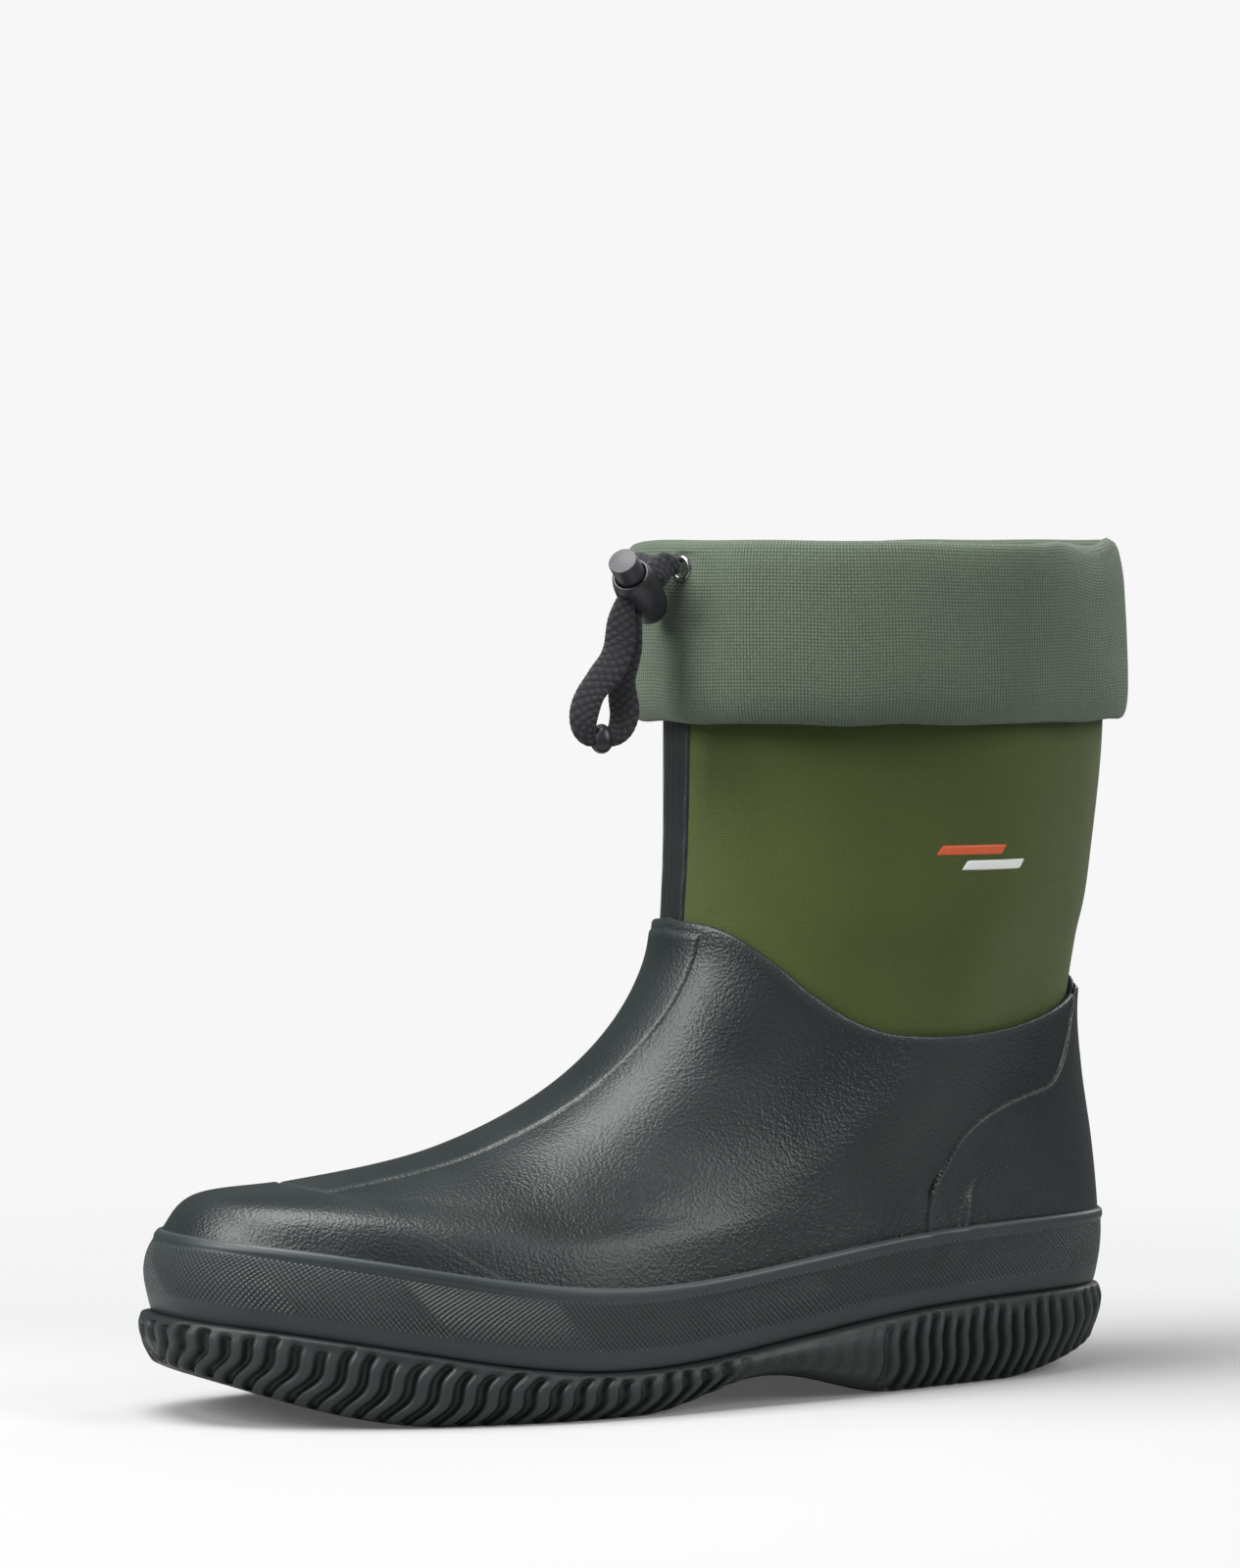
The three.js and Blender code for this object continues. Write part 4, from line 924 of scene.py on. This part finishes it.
def foxing():
    """The band round the foot: a flat face, a border along its top that stands prouder,
    and a soft top edge. Low swellings cross its border over the counter's edge and rib."""
    corners = [[0, -0.4], [0, 2.3], [0.02, FOXING], [0.176, FOXING], [0.183, FOXING + FOXING_BEAD],
               [0.199, FOXING + FOXING_BEAD - 0.1], [0.203, 1.8], [0.2, -0.4]]
    profile = rounded(np.array(corners) * [120, 1], 0.9, 6) / [120, 1]
    profile = even(profile * [120, 1], 84) / [120, 1]
    a = turns(560)[None, :]
    v, off = profile[:, :1], profile[:, 1:]
    round_heel = from_toe(a)
    swell = 0.55 * hump(round_heel, COUNTER_EDGE, 1.5) + 0.55 * hump(round_heel, COUNTER_RIB, 1.5)
    off = off + swell * smooth((v - 0.09) / 0.05) * smooth(off / 2)
    off = off - (1.4 * hump(round_heel, 0, 38) + 0.9 * hump(round_heel, 180, 32)) * smooth(off / 2.5)
    grid = skin(a, v, off)
    u = measured(grid)[..., 0]
    uv = np.stack([u, np.broadcast_to(v * FOXING_HEIGHT / FOXING_TOP, u.shape)], axis=-1)
    uv = np.concatenate([uv, uv[:1]])
    # painted highlight along the band's top edge and on the proud border below it
    rub = 0.45 * hump(v, 0.2, 0.005) + 0.08 * smooth((v - 0.165) / 0.01) + 0 * a
    made = surface("foxing_rand", grid, around=True, loop=True, uv=uv, rub=rub)
    finish(made, "boot", FOXING_RUBBER, "foxing_band", slot="foxing_rubber")


def sock(name, off, wall, floor, top, material, nodes, slot, rows=90, columns=260):
    """A sock inside the last: a wall down from the shaft's top and a floor over the
    feather line, as an outer and an inner skin joined round the top."""
    a = turns(columns)[None, :]
    reach = shaft_v(a, top)
    level = np.linspace(0.05, 1, rows)[:, None]

    def side(inset, lift):
        shares = np.linspace(0, 0.94, 14)[1:, None, None]
        rim = skin(a, reach * level[:1], -inset)
        plan = SOLE_CENTRE + (rim - SOLE_CENTRE) * [1, 1, 0]
        flat = SOLE_CENTRE + (plan - SOLE_CENTRE) * shares
        flat[..., 2] = feather(flat[..., 1]) + lift
        pole = np.repeat(SOLE_CENTRE + [[[0, 0, feather(SOLE_CENTRE[1]) + lift]]], a.shape[1], axis=1)
        return joined([pole, flat, skin(a, reach * level, -inset)])

    outer, inner = side(off, floor), side(off + wall, floor + wall)
    made = surface(name, joined([outer, inner[::-1]]), around=True)
    finish(made, "boot", material, *nodes, slot=slot)


def tape_ripple(a, v):
    """The tape lies over a seam, so that its face is a little uneven."""
    return 0.1 * np.sin(v * 190 + 2 * np.sin(v * 60)) + 0.08 * np.sin(a * 90)


def seam_tape(name, middle, node, top):
    """A tape pressed over a seam of the shaft, from the rubber's edge up under the gaiter."""
    a = np.radians(middle + np.linspace(-9.5, 9.5, 44))
    overlay(name, a, edge_of(a) - 0.01, shaft_v(a, top), OVERLAY - BOOTIE_OFF, -BOOTIE_OFF - 0.4, 1.2,
            130, STRIP_RUBBER, node, "strip_rubber", tape_ripple)


def shaft_mark():
    """Two slanted bars, one above the other and set off to the side, as a plain badge."""
    v = np.linspace(0, 1, 8)[:, None]
    for name, start, level, low, high in (
        ("shaft_mark_orange", 81.5, 157.3, "#d2552a", "#e0653a"),
        ("shaft_mark_white", 88.5, 152.8, "#e4e4e0", "#f2f2ee"),
    ):
        a = np.radians(start + np.linspace(0, 19, 40))[None, :] + np.radians(1.6) * v
        off = -BOOTIE_OFF - 0.2 + 0.45 * smooth(np.minimum(v, 1 - v) * 6 + 0 * a)
        across = np.minimum(np.arange(40), np.arange(40)[::-1])
        off = mix(-BOOTIE_OFF - 0.2, off, smooth(across / 2)[None, :])
        face = shaft(a, level + 3.2 * v, off)
        under = shaft(a, level + 3.2 * v, -BOOTIE_OFF - 0.2)
        made = surface(name, joined([face, under[::-1]]), loop=True)
        finish(made, "boot", print_of("transfer_" + name[11:], low, high), "shaft_mark", slot="mark_print")


rubber_foot()
upper_overlays()
foxing()
sock("bootie_neoprene", BOOTIE_OFF, NEOPRENE, 2.3, BOOTIE_TOP, NEOPRENE_JERSEY,
     ["bootie_foot", "bootie_shaft"], "neoprene")
sock("lining_fleece", LINING_OFF, LINING, 6.6, BOOTIE_TOP - 0.6, FLEECE, ["lining"], "fleece")
seam_tape("front_seam_tape", -2, "front_seam_strip", FOLD + 8)
seam_tape("back_seam_tape", 180, "back_seam_strip", FOLD)
shaft_mark()


def footbed():
    """A foam insole: a flat layer that follows the feather line, its edge rounded and its
    heel cupped."""
    a = turns(180)[None, :]
    edge = outline(a, np.full(a.shape, -LINING_OFF - LINING - 1.4))
    corners = [[0, 8.7], [0.97, 8.7], [1, 10], [1, 12.6], [0.975, 13.8], [0.9, 13.7], [0, 13.7]]
    profile = rounded(corners, 0.04, 5)
    share, lift = profile[:, :1, None], profile[:, 1:2]
    grid = SOLE_CENTRE + (edge - SOLE_CENTRE) * share
    cup = 1.5 * smooth((share[..., 0] - 0.6) / 0.4) * smooth((grid[..., 1] - 40) / 60) * (lift > 12)
    grid[..., 2] = feather(grid[..., 1]) + lift + cup
    made = surface("footbed_foam", grid, around=True)
    finish(made, "boot", EVA_FOAM, "footbed", slot="foam")


footbed()

# ---------------------------------------------------------------- gaiter


def strip_of(line, wall, count):
    """A closed section: a middle line with a wall to each side and round ends."""
    line = even(line, count)
    way = unit(np.gradient(line, axis=0))
    out = np.stack([way[:, 1], -way[:, 0]], axis=1) * wall / 2
    turn = np.linspace(0, np.pi, 7)[1:-1, None]
    end = line[-1] + np.cos(turn) * out[-1] + np.sin(turn) * way[-1] * wall / 2
    start = line[0] - np.cos(turn) * out[0] - np.sin(turn) * way[0] * wall / 2
    return np.vstack([line + out, end, (line - out)[::-1], start])


# upright creases by the drawcord: degrees from the toe, width and depth
CREASES = [(6, 4, 0.5), (-14, 3.4, 0.6), (25, 4, 0.5), (34, 5, -0.4), (-27, 3, 0.7)]


def drape(a, z):
    """How the gaiter strays from its even shape, as (out, up): slow swells round the leg,
    upright creases by the drawcord, and a dip and a roll of the top edge behind."""
    deg = np.degrees(np.arctan2(np.sin(a), np.cos(a)))
    high = smooth((z - FOLD) / (GAITER_TOP - FOLD))
    out = 0.5 * np.sin(3 * a + 0.6) + 0.3 * np.sin(5 * a + 2.1 + 1.5 * high) + 0.18 * np.sin(9 * a + 4 * high)
    pulled = smooth((z - 218) / 22)
    for middle, width, depth in CREASES:
        out = out - depth * hump(deg, middle, width) * mix(0.3, 1, pulled)
    out = out - 1.0 * hump(deg, 152, 5) * mix(0.3, 1, high) + 0.9 * hump(deg, 163, 6) * high
    out = out - 0.9 * hump(deg, -150, 6) * high - 0.7 * hump(deg, -60, 9) * (1 - high)
    up = 0.25 * np.sin(2 * a + 1) + mix(0.3, 0.1, high) * np.sin(11 * a + 0.5)
    up = up + 0.15 * np.sin(17 * a) * (1 - high)
    up = up - high * (2.0 * hump(deg, 128, 9) - 1.4 * hump(deg, 141, 4) + 1.6 * hump(deg, 150, 5))
    up = up + high * (0.8 * hump(deg, 112, 4) + 0.6 * hump(deg, -120, 12))
    up = up + (2.6 * (1 - high) - 2.8 * smooth((z - 243) / 5)) * hump(deg, -46, 26)
    out = np.maximum(out - 0.6 * hump(deg, -36, 20) * smooth((z - 236) / 10), -1.0)
    return out, up - high * 0.5


def behind(a):
    """A share that grows from the toe's side round to the heel, where the gaiter hugs
    the leg."""
    return smooth((from_toe(a) - 60) / 80)


def hung(profile, columns, heel_profile=None, share=0.0):
    """A section carried round the shaft, drawn in towards the heel's own section if it has
    one, and draped, where share says how much it strays."""
    a = turns(columns)[None, :]
    heel = profile if heel_profile is None else heel_profile
    off = mix(profile[:, :1], heel[:, :1], behind(a))
    z = mix(profile[:, 1:], heel[:, 1:], behind(a))
    stray_out, stray_up = drape(a, z)
    share = np.broadcast_to(share, len(profile))[:, None]
    return shaft(a, z + stray_up * share, off + stray_out * share)


def gaiter():
    """One cloth: from the folded ply's foot down round the lower fold, up the outside, and
    over the top into the casing's inner side. Its eyelets sit in small dimples."""
    middle = [
        [1.7, 206], [1.8, 201.5], [2.9, 197.8], [5.2, 196.4], [7.4, 198.0], [8.9, 202], [9.6, 209],
        [9.7, 218], [9.4, 230], [9.0, 238], [8.3, 244], [7.0, 248], [5.6, 248.8], [4.8, 246.2], [4.6, 237.2],
    ]
    heel = [
        [1.5, 206], [1.6, 201.5], [2.0, 198.2], [2.8, 196.6], [3.6, 198], [4.3, 202], [4.6, 209], [4.8, 218],
        [5.2, 230], [5.4, 238], [4.9, 244], [3.9, 248], [2.8, 248.8], [2.1, 246.4], [1.8, 240],
    ]
    profile, heel_profile = (strip_of(spline(line, 150), 1.3, 150) for line in (middle, heel))
    share = smooth((profile[:, 0] - 1.5) / 4.5)
    grid = hung(profile, 420, heel_profile, share)
    for x in EYELETS.values():
        spot, out = eyelet_place(x)
        near = np.linalg.norm((grid - spot) - ((grid - spot) @ out)[..., None] * out, axis=-1)
        facing = ((grid - spot) @ out > -1.0) & (near < 12)
        dimple = 0.8 * hump(near, 0, 5.5) + 1.2 * smooth((2.6 - near) / 0.8)
        grid = grid - (facing * dimple)[..., None] * out
    made = surface("gaiter_cloth", grid, around=True, loop=True)
    finish(made, "gaiter", OXFORD_NYLON, "gaiter_outer", "gaiter_casing", slot="gaiter_nylon")


def eyelet_place(x):
    """Where an eyelet sits on the gaiter's front, and the way out of it."""
    a = np.linspace(-0.7, 0.7, 400)
    front = shaft(a, np.full(a.shape, float(EYELET_LEVEL)), GAITER_FACE)
    at = np.interp(x, front[:, 0], a)
    out = out_of(at, shaft_v(at, EYELET_LEVEL))
    out[2] = 0
    return shaft(at, EYELET_LEVEL, GAITER_FACE), unit(out)


def eyelets():
    """Each a rolled washer: a round flange that curls into a short neck."""
    profile = rounded([[2.5, -1.4], [2.5, 0.1], [2.9, 0.6], [3.5, 0.5], [3.8, 0.0], [3.6, -0.3], [3.1, 0.0],
                       [3.0, -1.4], [2.5, -1.4]], 0.35, 5)
    for node, x in EYELETS.items():
        spot, out = eyelet_place(x)
        made = lathe(node + "_washer", profile, (spot - out * 0.5, out))
        finish(made, "gaiter", PLATED_METAL, node, slot="steel")


def folded_ply():
    """The ply between the shaft's top edge and the lower fold, which on the real boot
    turns inside out as the gaiter is raised; here it is one fixed shape on no body."""
    line = [[-1.4, BOOTIE_TOP], [-1.3, 231], [-0.4, 222], [0.8, 213], [1.7, 206]]
    profile = strip_of(spline(line, 60), 1.0, 60)
    grid = hung(profile, 260)
    made = surface("gaiter_folded_ply", grid, around=True, loop=True)
    finish(made, None, OXFORD_NYLON, "gaiter_ply", slot="gaiter_nylon")
    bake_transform(made)


def binding():
    """A tape folded over the raw top edge of bootie and lining."""
    line = rounded([[-0.1, 234], [-0.1, 241.3], [-9.1, 241.3], [-9.1, 234]], 2.2, 8)
    profile = strip_of(line, 1.0, 80)
    grid = hung(profile, 300)
    made = surface("top_binding_tape", grid, around=True, loop=True)
    finish(made, "boot", BINDING_TAPE, "top_binding", slot="black_nylon")


gaiter()
eyelets()
folded_ply()
binding()

# ---------------------------------------------------------------- kept nodes

for kept, material in {
    "shank": PLATED_METAL,
    "midsole": EVA_FOAM,
    "insole_board": FIBREBOARD,
    "lock_spring": PLATED_METAL,
    "hem_drawcord": CORD_BRAID,
}.items():
    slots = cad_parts[kept].data.materials
    slots.clear()
    slots.append(material)

# ---------------------------------------------------------------- room

scene = bpy.context.scene
scene.view_settings.view_transform = "Standard"
world = bpy.data.worlds.new("studio")
world.use_nodes = True
sky = world.node_tree
is_seen = add(sky, "LightPath", out="Is Camera Ray")
shades = {0: is_seen, 6: linear("#6a6d70"), 7: linear("#f7f7f7")}
shade = add(sky, "Mix", shades, out=2, data_type="RGBA")
sky.links.new(shade, sky.nodes["Background"].inputs["Color"])
scene.world = world


def floor():
    """A pale disc that clears away to the backdrop's own white with distance."""
    r = np.linspace(0, 3000, 60)[:, None, None]
    a = np.linspace(0, 2 * np.pi, 97)[None, :, None]
    grid = np.concatenate([r * np.cos(a), r * np.sin(a), 0 * r * a - 0.05], axis=-1)
    made = surface("floor", grid, around=True)
    paint = bpy.data.materials.new("pale_paper")
    paint.use_nodes = True
    tree = paint.node_tree
    paper = tree.nodes["Principled BSDF"]
    paper.inputs["Base Color"].default_value = linear("#bababa")
    paper.inputs["Roughness"].default_value = 0.9
    paper.inputs["Specular IOR Level"].default_value = 0.0
    where = add(tree, "TexCoord", out="Object")
    far = add(tree, "VectorMath", [where], out="Value", operation="LENGTH")
    far = add(tree, "MapRange", [far, 0.2, 0.6], interpolation_type="SMOOTHSTEP")
    far = add(tree, "Math", [far, 0.92, 0.08], operation="MULTIPLY_ADD")
    clear = add(tree, "BsdfTransparent")
    both = add(tree, "MixShader", [far, paper.outputs[0], clear])
    tree.links.new(both, tree.nodes["Material Output"].inputs["Surface"])
    made.data.materials.append(paint)


def softbox(name, at, size, watts, colour="#ffffff"):
    lamp = bpy.data.lights.new(name, "AREA")
    lamp.shape = "RECTANGLE"
    lamp.size, lamp.size_y = size
    lamp.energy = watts
    lamp.color = linear(colour)[:3]
    made = bpy.data.objects.new(name, lamp)
    bpy.context.collection.objects.link(made)
    made.location = at
    made.rotation_euler = (Vector((0, 0, 0.13)) - Vector(at)).to_track_quat("-Z", "Y").to_euler()


floor()
softbox("top_box", (0.0, -0.45, 1.6), (1.0, 1.0), 34)
softbox("front_box", (0.0, -1.6, 1.1), (0.7, 0.9), 28)
softbox("side_box", (1.3, 1.0, 1.0), (0.8, 1.1), 17)
softbox("back_box", (-0.6, 1.5, 0.9), (0.9, 0.9), 10)
